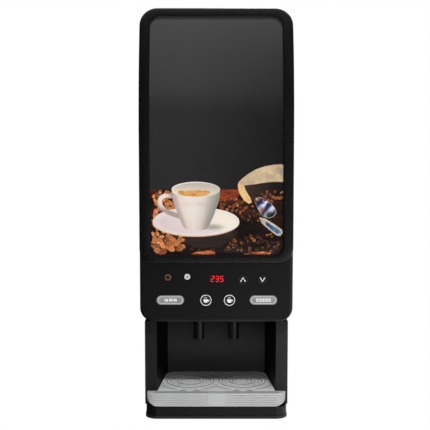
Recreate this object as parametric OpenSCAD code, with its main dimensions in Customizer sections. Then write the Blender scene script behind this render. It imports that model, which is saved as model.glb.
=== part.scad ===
/* [Overall] */
// Width of the door, the widest piece
door_w = 280; // [260:1:340]
// Height from the table to the top of the door
overall_h = 757; // [700:1:910]
// Depth from the bezel to the tip of the water inlet
overall_d = 460; // [430:1:555]

/* [Base and tray] */
// Height of the rubber feet under the base
foot_h = 3; // [2:0.5:8]
// Height of the base moulding
base_h = 22; // [18:1:30]
// Height of the tray's front cover
cover_h = 25; // [20:1:35]
// Plan radius of the base's and the cover's front corners
front_r = 21; // [10:1:30]
// Depth of the drip tray behind its cover
tray_d = 131; // [100:1:135]

/* [Dispensing bay] */
// Height of the door's lower edge above the table
door_z = 184; // [170:1:230]
// Width of each cheek's front face
cheek_w = 22; // [16:1:26]
// How much each cheek's inner wall leans in towards the back
cheek_lean = 12; // [4:1:14]
// Depth of the bay
bay_d = 151; // [140:1:170]
// How far the cheeks stand behind the door's face
cheek_back = 20; // [12:1:26]
// Distance of each nozzle from the middle
nozzle_x = 34; // [26:1:45]
// Outer radius of a nozzle
nozzle_r = 10.5; // [8:0.5:12]
// How far a nozzle hangs below the door's lower edge
nozzle_drop = 53; // [30:1:60]

/* [Door] */
// Depth of the door shell at its lower edge
door_d = 80; // [70:1:95]
// Wall of the door moulding
door_wall = 3; // [2:0.5:4]
// How far the bezel stands out from the door's face
bezel_out = 8; // [5:0.5:12]
// Width of the bezel's sides
bezel_side = 19.5; // [14:0.5:26]
// Height of the bezel above and below the window
bezel_end = 16; // [12:0.5:24]
// Height of the control panel under the bezel
panel_h = 109; // [100:1:130]
// Radius of the door's top corners
corner_r = 32; // [20:1:40]
// Radius that the upper front face curves back with
curve_r = 650; // [500:5:900]
// Height over which the front face curves back
curve_h = 232; // [150:1:260]
// Radius of the hinge pins
pin_r = 3; // [2.5:0.5:4]
// Gap between the door and the cabinet
door_gap = 3; // [3:0.5:5]

/* [Controls] */
// Radius of a cup button
cup_button_r = 10.5; // [8:0.5:12]
// Radius of an arrow key
arrow_key_r = 9; // [7:0.5:10]
// Radius of the standby key
standby_r = 6.5; // [5:0.5:8]
// Travel of every key
key_travel = 0.8; // [0.5:0.1:1.2]

/* [Drink system] */
// Width of a powder canister
canister_w = 100; // [80:1:110]
// Depth of a powder canister
canister_d = 120; // [100:1:130]
// Height of a powder canister
canister_h = 180; // [150:1:200]
// Inner radius of the canister's trough, where the auger turns
trough_r = 19; // [15:0.5:22]
// Radius of a mixing bowl's mouth
bowl_r = 32; // [26:1:34]
// Height of the water tank
tank_h = 160; // [120:1:170]

/* [Hidden] */
$fn = 64;

// Small clearances
fit = 0.05;
gap = 0.4;
over = 1;
sheet = 1.5;

// Levels
deck_z = foot_h + base_h;
bay_top = door_z - 3;
cab_top = overall_h - 12;
curve_z = overall_h - curve_h;
bezel_z = door_z + panel_h;

// Depths, from the front to the back
face_y = -overall_d / 2 + bezel_out;
door_back = face_y + door_d;
cab_front = door_back + door_gap;
cheek_y = face_y + cheek_back;
bay_back = cheek_y + bay_d;
spigot_out = 22;
rear_y = overall_d / 2 - spigot_out;

// Widths
side_step = 7;
cab_w = door_w - 2 * side_step;
inner_x = cab_w / 2 - sheet;
base_w = cab_w - 2;
bay_half = cab_w / 2 - cheek_w;
lean = atan(cheek_lean / bay_d);

// Hinge, in the round column at the door's back left corner
hinge_r = 12;
hinge_x = -door_w / 2 + hinge_r;
hinge_y = door_back - hinge_r;
hinge_low = door_z + 36;
hinge_high = overall_h - 60;
slot_h = 6;
slot_r = 20;
bracket_t = 3;
pin_l = 24;

// Door lock on the right side
lock_y = door_back - 20;
lock_z = door_z + 236;
plug_r = 5;
cam_l = 45;
tooth_l = 14;

// Controls: places on the panel
row_low = door_z + 41;
row_high = door_z + 79;
cup_x = 21.5;
cup_shift = 2.5;
standby_at = [-88, row_high + 4];
lamp_at = [-53, row_high + 5];
display_at = [1.5, row_high + 1];
up_at = [48.5, row_high];
down_at = [84, row_high];
left_cup_at = [cup_shift - cup_x, row_low];
right_cup_at = [cup_shift + cup_x, row_low];
label_at = [[-84, row_low], [86, row_low]];
label_size = [50, 17];
display_size = [27, 13.5];
lamp_r = 5.5;
overlay_t = 1.2;
cap_out = 2;
board_y = face_y + 13;

// Drink system
flavour_x = cab_w / 4 - 4;
can_front = cab_front + 44;
can_back = can_front + canister_d;
plate_y = can_back + 5;
can_z = cab_top - 95 - canister_h;
can_wall = 2;
auger_z = can_z + trough_r + can_wall;
spout_l = 24;
shaft_r = 4;
bowl_y = can_front - 7;
bowl_top = can_z - 30;
bowl_h = 40;
neck_r = 9;
neck_l = 29;
whip_z = bowl_top - bowl_h - 50;
whip_r = 22;
whip_l = 30;
spigot_r = 5;
hose_r = 7;
hose_bore = 5.2;
nozzle_y = cab_front + 19;
tank_front = plate_y + 62;
tank_back = rear_y - 20;
tank_z = can_z - 70;
tank_w = 170;
valve_z = bowl_top + 10;
pipe_r = 4;
inlet_r = 13.2;
inlet_nut = 4;
inlet_at = [-70, deck_z + 65];
power_at = [70, deck_z + 70];
power_size = [34, 62];

// ---- helpers -------------------------------------------------------------

// A flat outline in x and z, drawn out from y0 to y1
module along_y(y0, y1) {
    translate([0, y1, 0]) rotate([90, 0, 0]) linear_extrude(y1 - y0) children();
}

// A flat outline in y and z, drawn out from x0 to x1
module along_x(x0, x1) {
    translate([x0, 0, 0]) rotate([90, 0, 90]) linear_extrude(x1 - x0) children();
}

// A round bar or hole along Y, from y0 to y1
module rod_y(at, r, y0, y1) {
    translate([at[0], y1, at[1]]) rotate([90, 0, 0]) cylinder(h = y1 - y0, r = r);
}

// A box from one corner to the opposite one
module box(lo, hi) {
    translate(lo) cube(hi - lo);
}

// A rectangle with its own radius at the top and at the bottom corners
module outline(w, z0, z1, rt, rb) {
    big = max(rt, rb);
    translate([-w / 2 + big, z0]) square([w - 2 * big, z1 - z0]);
    translate([-w / 2, z0 + rb]) square([w, z1 - z0 - rb - rt]);
    translate([-w / 2 + rb, z0]) square([w - 2 * rb, rb + over]);
    translate([-w / 2 + rt, z1 - rt - over]) square([w - 2 * rt, rt + over]);
    for (s = [-1, 1]) {
        translate([s * (w / 2 - rb), z0 + rb]) circle(rb);
        translate([s * (w / 2 - rt), z1 - rt]) circle(rt);
    }
}

// Points of an arc
function arc(cx, cy, r, a0, a1) =
    [for (i = [0 : 12]) [cx + r * cos(a0 + (a1 - a0) * i / 12), cy + r * sin(a0 + (a1 - a0) * i / 12)]];

// Side view of the door up from z0: its face moved forward by out, curving back at the top
module door_side(out, z0, back) {
    steps = 24;
    turn = asin((curve_h + 12) / curve_r);
    r = curve_r + out;
    face = [
        for (i = [0 : steps])
            [face_y + curve_r - r * cos(turn * i / steps), curve_z + r * sin(turn * i / steps)]
    ];
    polygon(concat([[back, z0], [face_y - out, z0]], face, [[back, face[steps][1]]]));
}

// A sheet that follows the door's face, between two distances in front of it
module face_layer(front, rear, w, z0, z1, rt, rb) {
    intersection() {
        along_x(-w / 2 - over, w / 2 + over)
            difference() {
                door_side(front, z0 - over, door_back);
                door_side(rear, z0 - 2 * over, door_back + over);
            }
        along_y(face_y - bezel_out - over, door_back + 2 * over) outline(w, z0, z1, rt, rb);
    }
}

// Half width of the bay at a depth, less a clearance
function bay_at(y, less) = bay_half - (y - cheek_y) * tan(lean) - less;

// Plan of what slides between the cheeks: sides that lean as they do, rounded at the back
module tray_plan(y0, y1, less, r) {
    cy = y1 - r;
    cx = bay_at(cy, less) - r / cos(lean);
    polygon(concat(
        [[bay_at(y0, less), y0]],
        arc(cx, cy, r, lean, 90),
        arc(-cx, cy, r, 90, 180 - lean),
        [[-bay_at(y0, less), y0]]
    ));
}

// Plan with rounded front corners and square back corners
module front_plan(w, y0, y1, r) {
    intersection() {
        translate([-w / 2, y0]) square([w, y1 - y0]);
        union() {
            translate([-w / 2 + r, y0]) square([w - 2 * r, y1 - y0]);
            translate([-w / 2, y0 + r]) square([w, y1 - y0 - r]);
            for (s = [-1, 1]) translate([s * (w / 2 - r), y0 + r]) circle(r);
        }
    }
}

// ---- base and cabinet ----------------------------------------------------

base_y = face_y - 1;
base_wall = 3;
lip_h = 5;
lip_out = 1.2;
foot_r = 12;
foot_x = base_w / 2 - 26;
foot_y0 = base_y + 40;
foot_y1 = rear_y - 34;

module base_skirt() {
    color("#1a1a1c") difference() {
        union() {
            translate([0, 0, foot_h]) linear_extrude(base_h)
                front_plan(base_w - 2 * lip_out, base_y + lip_out, rear_y, front_r);
            translate([0, 0, foot_h]) linear_extrude(lip_h)
                front_plan(base_w, base_y, rear_y, front_r + lip_out);
        }
        difference() {
            translate([0, 0, foot_h - over]) linear_extrude(base_h - base_wall + over)
                front_plan(base_w - 2 * lip_out - 2 * base_wall, base_y + lip_out + base_wall,
                    rear_y - base_wall, front_r - base_wall);
            for (x = [-foot_x, foot_x], y = [foot_y0, foot_y1])
                translate([x, y, foot_h]) cylinder(h = base_h, r = foot_r + 2);
        }
    }
}

module rubber_feet() {
    color("#2b2b2b") for (x = [-foot_x, foot_x], y = [foot_y0, foot_y1])
        translate([x, y, 0]) difference() {
            cylinder(h = foot_h, r = foot_r);
            translate([0, 0, -over]) cylinder(h = over + foot_h / 2, r = 4);
        }
}

module side_panel(side) {
    lo = side < 0 ? -cab_w / 2 : inner_x;
    color("#1d1d1f") box([lo, cab_front, deck_z], [lo + sheet, rear_y, cab_top - sheet]);
}

module left_side_panel() { side_panel(-1); }
module right_side_panel() { side_panel(1); }

vent_w = 70;
vent_h = 4;
screw_x = inner_x - 10;
function screw_rows() = [for (i = [0 : 3]) deck_z + 15 + i * (cab_top - deck_z - 30) / 3];

module rear_panel() {
    color("#1d1d1f") difference() {
        box([-inner_x, rear_y - sheet, deck_z], [inner_x, rear_y, cab_top - sheet]);
        for (i = [0 : 8], s = [-1, 1])
            translate([s * 48 - vent_w / 2, rear_y - 2 * sheet, cab_top - 130 + i * 10])
                cube([vent_w, 3 * sheet, vent_h]);
        rod_y(inlet_at, inlet_r + gap, rear_y - 2 * sheet, rear_y + over);
        box([power_at[0] - power_size[0] / 2 - gap, rear_y - 2 * sheet,
                power_at[1] - power_size[1] / 2 - gap],
            [power_at[0] + power_size[0] / 2 + gap, rear_y + over, power_at[1] + power_size[1] / 2 + gap]);
        for (s = [-1, 1], z = screw_rows()) rod_y([s * screw_x, z], 2.2, rear_y - 2 * sheet, rear_y + over);
    }
}

module panel_screws() {
    color("#b8b8b8") for (s = [-1, 1], z = screw_rows()) {
        rod_y([s * screw_x, z], 4, rear_y, rear_y + 2.4);
        rod_y([s * screw_x, z], 2, rear_y - 10, rear_y + over);
    }
}

module top_panel() {
    color("#1d1d1f") box([-cab_w / 2, cab_front, cab_top - sheet], [cab_w / 2, rear_y, cab_top]);
}

// ---- dispensing bay --------------------------------------------------------

cheek_wall = 2.5;

// Plan of the left cheek, all walls moved in by less
module cheek_plan(less) {
    inward = bay_at(bay_back, 0);
    polygon([
        [-cab_w / 2 + less, cheek_y + less],
        [-bay_half - less, cheek_y + less],
        [-inward - less, bay_back - less],
        [-inner_x + gap + less, bay_back - less],
        [-inner_x + gap + less, cab_front - gap - less],
        [-cab_w / 2 + less, cab_front - gap - less]
    ]);
}

module cheek() {
    translate([0, 0, deck_z]) linear_extrude(bay_top - deck_z)
        difference() {
            cheek_plan(0);
            cheek_plan(cheek_wall);
        }
}

module bay_left_cheek() { color("#202022") cheek(); }
module bay_right_cheek() { color("#303033") mirror([1, 0, 0]) cheek(); }

back_half = bay_at(bay_back, 0);

module bay_back_panel() {
    color("#18181a") box([-back_half, bay_back - 2, deck_z], [back_half, bay_back, bay_top]);
}

ceiling_t = 2;

module bay_ceiling() {
    color("#18181a") difference() {
        box([-inner_x + gap, cab_front, bay_top], [inner_x - gap, bay_back, bay_top + ceiling_t]);
        for (s = [-1, 1])
            translate([s * nozzle_x, nozzle_y, bay_top - over])
                cylinder(h = ceiling_t + 2 * over, r = nozzle_r + gap);
    }
}

nozzle_z = door_z - nozzle_drop;
nozzle_bore = 6;
nozzle_flange = 15;
hose_low = bay_top + ceiling_t + 24;

module dispensing_nozzles() {
    color("#222224") for (s = [-1, 1])
        translate([s * nozzle_x, nozzle_y, 0]) difference() {
            union() {
                translate([0, 0, nozzle_z]) cylinder(h = bay_top + ceiling_t - nozzle_z + 3, r = nozzle_r);
                translate([0, 0, bay_top + ceiling_t]) cylinder(h = 3, r = nozzle_flange);
                translate([0, 0, bay_top]) cylinder(h = hose_low + 10 - bay_top, r = spigot_r);
            }
            translate([0, 0, nozzle_z - over]) cylinder(h = bay_top - nozzle_z, r = nozzle_bore);
            translate([0, 0, nozzle_z]) cylinder(h = hose_low + 20 - nozzle_z, r = 3.5);
        }
}

// ---- frame inside the cabinet ----------------------------------------------

module component_plate() {
    color("#c9ccd0") difference() {
        box([-inner_x + gap, plate_y, deck_z], [inner_x - gap, plate_y + sheet, cab_top - sheet - gap]);
        for (s = [-1, 1]) {
            rod_y([s * flavour_x, auger_z], shaft_r + 2, plate_y - over, plate_y + 2 * sheet);
            rod_y([s * flavour_x, whip_z], shaft_r + 1, plate_y - over, plate_y + 2 * sheet);
            rod_y([s * flavour_x, valve_z], pipe_r + gap, plate_y - over, plate_y + 2 * sheet);
        }
    }
}

module canister_shelf() {
    top = can_z - 0.3;
    color("#c9ccd0") box([-inner_x + gap, can_front + 2, top - 2], [inner_x - gap, plate_y, top]);
}

module hinge_bracket(z, way) {
    flange_y0 = cab_front + 2;
    flange_l = 40;
    translate([0, 0, z - bracket_t / 2]) {
        translate([hinge_x, hinge_y, 0]) cylinder(h = bracket_t, r = 8);
        box([-inner_x, hinge_y, 0], [hinge_x + 8, flange_y0 + flange_l, bracket_t]);
        box([-inner_x, flange_y0, -12], [-inner_x + bracket_t, flange_y0 + flange_l, 15]);
    }
    translate([hinge_x, hinge_y, way > 0 ? z : z - pin_l]) cylinder(h = pin_l, r = pin_r);
}

module hinge_brackets() {
    color("#9a9da1") {
        hinge_bracket(hinge_low, 1);
        hinge_bracket(hinge_high, -1);
    }
}

post_r = 3;
post_y = lock_y + cam_l - 5 - post_r - over;
post_z = lock_z - tooth_l + 5;
cam_x = door_w / 2 - 26;

module lock_strike() {
    color("#9a9da1") {
        box([inner_x - 3, post_y - 10, post_z - 20], [inner_x, post_y + 14, post_z + 20]);
        translate([cam_x - 4, post_y, post_z]) rotate([0, 90, 0])
            cylinder(h = inner_x - cam_x + 2, r = post_r);
    }
}

// ---- powder canisters ------------------------------------------------------

// Section of a canister in x and z, all walls moved in by less
module canister_section(less, top) {
    half = canister_w / 2 - less;
    r = trough_r + can_wall - less;
    polygon([
        [-half, top], [-half, auger_z + 40], [-r, auger_z],
        [r, auger_z], [half, auger_z + 40], [half, top]
    ]);
    translate([0, auger_z]) circle(r);
}

can_top = can_z + canister_h;
lid_pin_r = 1.5;
lid_axis = [can_back - 4, can_top + 5];
ear_d = 8;
ear_h = 9;

module canister() {
    difference() {
        union() {
            along_y(can_front, can_back) canister_section(0, can_top);
            rod_y([0, auger_z], trough_r + can_wall, can_front - spout_l, can_front + over);
            for (s = [-1, 1])
                translate([s * (canister_w - can_wall) / 2 - can_wall / 2, can_back - ear_d, can_top - over])
                    cube([can_wall, ear_d, ear_h + over]);
        }
        along_y(can_front + can_wall, can_back - can_wall) canister_section(can_wall, can_top + over);
        rod_y([0, auger_z], trough_r, can_front - spout_l + can_wall, can_front + 2 * can_wall);
        box([-12, can_front - spout_l + 4, auger_z - 2 * trough_r], [12, can_front - 6, auger_z - 8]);
        rod_y([0, auger_z], shaft_r + fit, can_back - 2 * can_wall, can_back + over);
        translate([-canister_w, lid_axis[0], lid_axis[1]]) rotate([0, 90, 0])
            cylinder(h = 2 * canister_w, r = lid_pin_r + fit);
    }
}

module left_canister() { color([0.86, 0.88, 0.9, 0.8]) translate([-flavour_x, 0, 0]) canister(); }
module right_canister() { color([0.86, 0.88, 0.9, 0.8]) translate([flavour_x, 0, 0]) canister(); }

module canister_lid() {
    side = canister_w / 2 - can_wall - 0.3;
    z0 = can_top + 0.3;
    box([-canister_w / 2 - 2, can_front - 2, z0], [canister_w / 2 + 2, can_back - ear_d - 2, z0 + 2]);
    box([-side, can_back - ear_d - 3, z0], [side, lid_axis[0], z0 + 2]);
    translate([-side, lid_axis[0], lid_axis[1]]) rotate([0, 90, 0]) cylinder(h = 2 * side, r = 3);
    translate([-canister_w / 2, lid_axis[0], lid_axis[1]]) rotate([0, 90, 0])
        cylinder(h = canister_w, r = lid_pin_r);
}

module left_canister_lid() { color("#2a2a2c") translate([-flavour_x, 0, 0]) canister_lid(); }
module right_canister_lid() { color("#2a2a2c") translate([flavour_x, 0, 0]) canister_lid(); }

auger_turns = 3;
flight_t = 5;

module auger() {
    back = can_back - can_wall - 1.5;
    front = can_front - spout_l + can_wall + 2;
    translate([0, back, auger_z]) rotate([90, 0, 0])
        linear_extrude(back - front, twist = -360 * auger_turns, slices = 16 * auger_turns, segments = 1)
            square([2 * trough_r - 3, flight_t], center = true);
    rod_y([0, auger_z], shaft_r, back, plate_y + 14);
}

module left_auger() { color("#e8e8e6") translate([-flavour_x, 0, 0]) auger(); }
module right_auger() { color("#e8e8e6") translate([flavour_x, 0, 0]) auger(); }

// A gearbox on the back of the component plate, with its motor behind it
module gear_motor(z, half, r, deep, bore) {
    y0 = plate_y + sheet;
    difference() {
        union() {
            box([-half, y0, z - half], [half, y0 + 24, z + half]);
            rod_y([0, z], r, y0 + 23, y0 + deep);
        }
        rod_y([0, z], bore, y0 - over, y0 + 16);
    }
}

module auger_motors() {
    color("#b9bcc0") for (s = [-1, 1])
        translate([s * flavour_x, 0, 0]) gear_motor(auger_z, 24, 15, 52, shaft_r + fit);
}

whip_shaft = 3;

module whipper_motors() {
    color("#8d9094") for (s = [-1, 1])
        translate([s * flavour_x, 0, 0]) gear_motor(whip_z, 19, 17, 50, whip_shaft + fit);
}

// ---- mixing ----------------------------------------------------------------

module mixing_bowl() {
    wall = 2;
    translate([0, bowl_y, bowl_top - bowl_h]) rotate_extrude()
        polygon([
            [neck_r - wall, -neck_l], [neck_r, -neck_l], [neck_r, 0], [bowl_r, bowl_h - 12], [bowl_r, bowl_h],
            [bowl_r - wall, bowl_h], [bowl_r - wall, bowl_h - 11], [neck_r - wall, 1]
        ]);
}

module left_mixing_bowl() { color("#e9e7e0") translate([-flavour_x, 0, 0]) mixing_bowl(); }
module right_mixing_bowl() { color("#e9e7e0") translate([flavour_x, 0, 0]) mixing_bowl(); }

hose_top = whip_z - whip_r - 14;

module whipper_housings() {
    color("#dedcd5") for (s = [-1, 1])
        translate([s * flavour_x, bowl_y, 0]) difference() {
            union() {
                rod_y([0, whip_z], whip_r, -whip_l / 2, whip_l / 2);
                translate([0, 0, whip_z]) cylinder(h = whip_r + 5, r = neck_r + 3);
                translate([0, 0, hose_top]) cylinder(h = whip_r, r = spigot_r);
            }
            rod_y([0, whip_z], whip_r - 3, -whip_l / 2 + 3, whip_l / 2 - 3);
            translate([0, 0, bowl_top - bowl_h - neck_l - over]) cylinder(h = 40, r = neck_r + 0.3);
            translate([0, 0, whip_z]) cylinder(h = 40, r = neck_r - 2);
            translate([0, 0, hose_top - over]) cylinder(h = 40, r = 3.5);
            rod_y([0, whip_z], whip_shaft + fit, 0, whip_l);
        }
}

module whipper() {
    rod_y([0, whip_z], 8, bowl_y - 4, bowl_y + 6);
    for (a = [0 : 60 : 300])
        translate([0, bowl_y, whip_z]) rotate([0, a, 0]) translate([-1, -3, 6]) cube([2, 6, whip_r - 11]);
    rod_y([0, whip_z], whip_shaft, bowl_y, plate_y + 12);
}

module left_whipper() { color("#8d9094") translate([-flavour_x, 0, 0]) whipper(); }
module right_whipper() { color("#8d9094") translate([flavour_x, 0, 0]) whipper(); }

hose_dx = nozzle_x - flavour_x;
hose_dy = nozzle_y - bowl_y;
hose_off = sqrt(hose_dx * hose_dx + hose_dy * hose_dy);
hose_l = hose_top + 12 - hose_low;
hose_sides = 16;
hose_rings = 18;
hose_end = 14;

// How far along its bend a ring is, from 0 to 1
function bend_at(z) = min(max((z - hose_end) / (hose_l - 2 * hose_end), 0), 1);

// A point of the hose's wall: z below its top, a round it, r from its middle line
function hose_point(z, a, r) =
    let (
        u = bend_at(z),
        slope = u > 0 && u < 1 ? hose_off * 1.5708 * sin(180 * u) / (hose_l - 2 * hose_end) : 0,
        tilt = atan(slope)
    )
    [hose_off * (1 - cos(180 * u)) / 2 + r * cos(a) * cos(tilt), r * sin(a), -z + r * cos(a) * sin(tilt)];

// A hose that leaves downwards, bends aside by hose_off and ends downwards
module hose() {
    n = hose_sides;
    m = hose_rings;
    points = [
        for (r = [hose_r, hose_bore], i = [0 : m - 1], j = [0 : n - 1])
            hose_point(hose_l * i / (m - 1), 360 * j / n, r)
    ];
    wall = n * m;
    sides = [for (i = [0 : m - 2], j = [0 : n - 1]) let (k = (j + 1) % n)
        [i * n + j, i * n + k, i * n + n + k, i * n + n + j]];
    bores = [for (f = sides) [wall + f[3], wall + f[2], wall + f[1], wall + f[0]]];
    last = n * (m - 1);
    ends = [
        for (j = [0 : n - 1]) let (k = (j + 1) % n) [wall + j, wall + k, k, j],
        for (j = [0 : n - 1]) let (k = (j + 1) % n) [last + j, last + k, wall + last + k, wall + last + j]
    ];
    polyhedron(points, concat(sides, bores, ends));
}

module drink_hoses() {
    color("#d8d4c8") for (s = [0, 1]) mirror([s, 0, 0])
        translate([flavour_x, bowl_y, hose_top + 12]) rotate([0, 0, atan2(hose_dy, hose_dx)]) hose();
}

// ---- water -----------------------------------------------------------------

tank_wall = 2;

module water_tank() {
    color("#c4c7ca") difference() {
        box([-tank_w / 2, tank_front, tank_z], [tank_w / 2, tank_back, tank_z + tank_h]);
        box([-tank_w / 2 + tank_wall, tank_front + tank_wall, tank_z + tank_wall],
            [tank_w / 2 - tank_wall, tank_back - tank_wall, tank_z + tank_h + over]);
    }
}

element_r = 4;
element_x = 26;
tank_mid = (tank_front + tank_back) / 2;

module tank_lid() {
    color("#c4c7ca") difference() {
        box([-tank_w / 2, tank_front, tank_z + tank_h], [tank_w / 2, tank_back, tank_z + tank_h + 3]);
        for (s = [-1, 1]) translate([s * element_x, tank_mid, tank_z + tank_h - over])
            cylinder(h = 5, r = element_r + 0.3);
    }
}

module heating_element() {
    low = tank_z + 20 + element_x;
    color("#a7a19a") {
        for (s = [-1, 1]) translate([s * element_x, tank_mid, low])
            cylinder(h = tank_z + tank_h + 18 - low, r = element_r);
        translate([0, tank_mid, low]) rotate([90, 180, 0]) rotate_extrude(angle = 180)
            translate([element_x, 0]) circle(element_r);
    }
}

valve_front = plate_y + 30;

module water_valves() {
    color("#f0efe9") for (s = [-1, 1]) translate([s * flavour_x, 0, 0]) difference() {
        union() {
            box([-11, valve_front, valve_z - 11], [11, valve_front + 26, valve_z + 11]);
            translate([0, valve_front + 13, valve_z - 34]) cylinder(h = 24, r = 10);
            rod_y([0, valve_z], 5, valve_front + 25, tank_front);
        }
        rod_y([0, valve_z], pipe_r, valve_front - over, valve_front + 8);
    }
}

// A straight tube along Y or Z
module tube(h, r, wall) {
    difference() {
        cylinder(h = h, r = r);
        translate([0, 0, -over]) cylinder(h = h + 2 * over, r = r - wall);
    }
}

supply_y = rear_y - 46;

module water_pipes() {
    color("#e3ddd0") {
        for (s = [-1, 1]) translate([s * flavour_x, valve_front + 8, valve_z]) rotate([90, 0, 0])
            tube(valve_front + 8 - (bowl_y + 16), pipe_r, 1.2);
        translate([inlet_at[0], supply_y, inlet_at[1] + 22]) tube(tank_z - inlet_at[1] - 22, pipe_r, 1.2);
    }
}

module inlet_valve() {
    color("#d9d4c6") difference() {
        union() {
            rod_y(inlet_at, inlet_r, rear_y - 14, overall_d / 2);
            rod_y(inlet_at, inlet_r + 5, rear_y, rear_y + inlet_nut);
            rod_y(inlet_at, inlet_r + 4, rear_y - 34, rear_y - sheet);
            box([inlet_at[0] - 13, supply_y - 13, inlet_at[1] - 13],
                [inlet_at[0] + 13, rear_y - 33, inlet_at[1] + 13]);
            translate([inlet_at[0], supply_y, inlet_at[1]]) cylinder(h = 22, r = 7);
        }
        rod_y(inlet_at, 8, supply_y, overall_d / 2 + over);
    }
}

// ---- electrics -------------------------------------------------------------

module power_board() {
    y0 = plate_y + sheet;
    z0 = deck_z + 185;
    color("#2f6b3f") {
        box([-100, y0 + 8, z0], [70, y0 + 9.6, z0 + 90]);
        for (x = [-94, 64], z = [z0 + 6, z0 + 84]) rod_y([x, z], 3, y0, y0 + 8);
        box([-92, y0 + 9, z0 + 14], [-50, y0 + 45, z0 + 56]);
        for (i = [0 : 3]) box([-36 + i * 24, y0 + 9, z0 + 12], [-20 + i * 24, y0 + 28, z0 + 34]);
        for (i = [0 : 2]) rod_y([-30 + i * 26, z0 + 68], 8, y0 + 9, y0 + 34);
    }
}

rocker_at = [power_at[0], power_at[1] + 18];
rocker_w = 12;
rocker_h = 20;
rocker_y = rear_y - 2;
rocker_pin_r = 1.5;
socket_z = power_at[1] - 12;

module power_inlet() {
    half = power_size / 2;
    color("#161617") {
        difference() {
            union() {
                box([power_at[0] - half[0], rear_y - 26, power_at[1] - half[1]],
                    [power_at[0] + half[0], rear_y + 1, power_at[1] + half[1]]);
                box([power_at[0] - half[0] - 4, rear_y, power_at[1] - half[1] - 4],
                    [power_at[0] + half[0] + 4, rear_y + 2, power_at[1] + half[1] + 4]);
            }
            box([power_at[0] - 12, rear_y - 20, socket_z - 8.5],
                [power_at[0] + 12, rear_y + 3, socket_z + 8.5]);
            box([power_at[0] - rocker_w / 2 - 0.5, rear_y - 14, rocker_at[1] - rocker_h / 2 - 1],
                [power_at[0] + rocker_w / 2 + 0.5, rear_y + 3, rocker_at[1] + rocker_h / 2 + 1]);
            translate([power_at[0] - rocker_w / 2 - 3, rocker_y - 4, rocker_at[1]]) rotate([0, 90, 0])
                cylinder(h = rocker_w + 6, r = rocker_pin_r + fit);
        }
        for (i = [-1, 0, 1])
            box([power_at[0] + i * 7 - 1, rear_y - 21, socket_z - 2 + (i == 0 ? 3 : -2)],
                [power_at[0] + i * 7 + 1, rear_y - 6, socket_z + 2 + (i == 0 ? 3 : -2)]);
    }
}

rocker_tilt = 9;

module rocker_switch() {
    color("#101010") translate([power_at[0], rocker_y - 4, rocker_at[1]]) rotate([rocker_tilt, 0, 0]) {
        along_x(-rocker_w / 2, rocker_w / 2)
            polygon([[-5, -6], [6, -rocker_h / 2 + 0.6], [4.6, 0], [6, rocker_h / 2 - 0.6], [-5, 6]]);
        translate([-rocker_w / 2 - 2.5, 0, 0]) rotate([0, 90, 0])
            cylinder(h = rocker_w + 5, r = rocker_pin_r);
    }
}

// ---- door ------------------------------------------------------------------

shell_rb = 26;
window_w = door_w - 2 * bezel_side;
window_z0 = bezel_z + bezel_end;
window_z1 = overall_h - bezel_end;
window_rt = 20;
window_rb = 16;
ledge = 7;
column_top = overall_h - corner_r - 2;

// Plan of the door: round at the hinge, a small radius at the lock side
module door_plan(less) {
    front = face_y - bezel_out - over;
    w = door_w / 2 - less;
    r = hinge_r;
    back_r = 4;
    if (less > 0) {
        translate([-w, front]) square([2 * w, door_back + over - front]);
    } else {
        translate([-w, front]) square([2 * w - over, door_back - r - front]);
        translate([-w + r, front]) square([2 * w - r - back_r, door_back - front]);
        translate([0, front]) square([w, door_back - back_r - front]);
        translate([-w + r, door_back - r]) circle(r);
        translate([w - back_r, door_back - back_r]) circle(back_r);
    }
}

module door_body() {
    intersection() {
        along_x(-door_w / 2 - over, door_w / 2 + over) door_side(0, door_z - over, door_back);
        along_y(face_y - over, door_back + over) outline(door_w, door_z, overall_h, corner_r, shell_rb);
        translate([0, 0, door_z - over]) linear_extrude(overall_h - door_z + 2 * over) door_plan(0);
    }
}

module door_cavity() {
    w = door_w - 2 * door_wall;
    intersection() {
        along_x(-w / 2 - over, w / 2 + over) door_side(-door_wall, door_z, door_back + over);
        along_y(face_y, door_back + 2 * over)
            outline(w, door_z + door_wall, overall_h - door_wall, corner_r - door_wall, shell_rb - door_wall);
    }
}

keys = [
    [standby_at, standby_r], [left_cup_at, cup_button_r], [right_cup_at, cup_button_r],
    [up_at, arrow_key_r], [down_at, arrow_key_r]
];

// Holes for every control, wider than each by more
module control_holes(more, y0, y1) {
    for (k = keys) rod_y(k[0], k[1] + more, y0, y1);
    rod_y(lamp_at, lamp_r + more, y0, y1);
    box([display_at[0] - display_size[0] / 2 - more, y0, display_at[1] - display_size[1] / 2 - more],
        [display_at[0] + display_size[0] / 2 + more, y1, display_at[1] + display_size[1] / 2 + more]);
}

module door_shell() {
    color("#1b1b1d") difference() {
        union() {
            difference() {
                door_body();
                door_cavity();
            }
            translate([hinge_x, hinge_y, door_z + 10]) cylinder(h = column_top - door_z - 10, r = hinge_r);
        }
        for (z = [hinge_low, hinge_high])
            translate([hinge_x, hinge_y, z - slot_h / 2]) cylinder(h = slot_h, r = slot_r);
        translate([hinge_x, hinge_y, hinge_low]) cylinder(h = pin_l + 2, r = pin_r + fit);
        translate([hinge_x, hinge_y, hinge_high - pin_l - 2]) cylinder(h = pin_l + 2, r = pin_r + fit);
        along_y(face_y - over, face_y + 60)
            outline(window_w - 2 * ledge, window_z0 + ledge, window_z1 - ledge, window_rt, window_rb);
        control_holes(0.8, face_y - over, face_y + door_wall + over);
        translate([door_w / 2 - 2 * door_wall, lock_y, lock_z]) rotate([0, 90, 0])
            cylinder(h = 3 * door_wall, r = 8.2);
    }
}

module door_bezel() {
    color("#19191b") difference() {
        face_layer(bezel_out, 0, door_w, bezel_z, overall_h, corner_r, shell_rb);
        along_y(face_y - bezel_out - over, face_y + 60)
            outline(window_w, window_z0, window_z1, window_rt, window_rb);
    }
}

pane_gap = 0.5;

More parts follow.
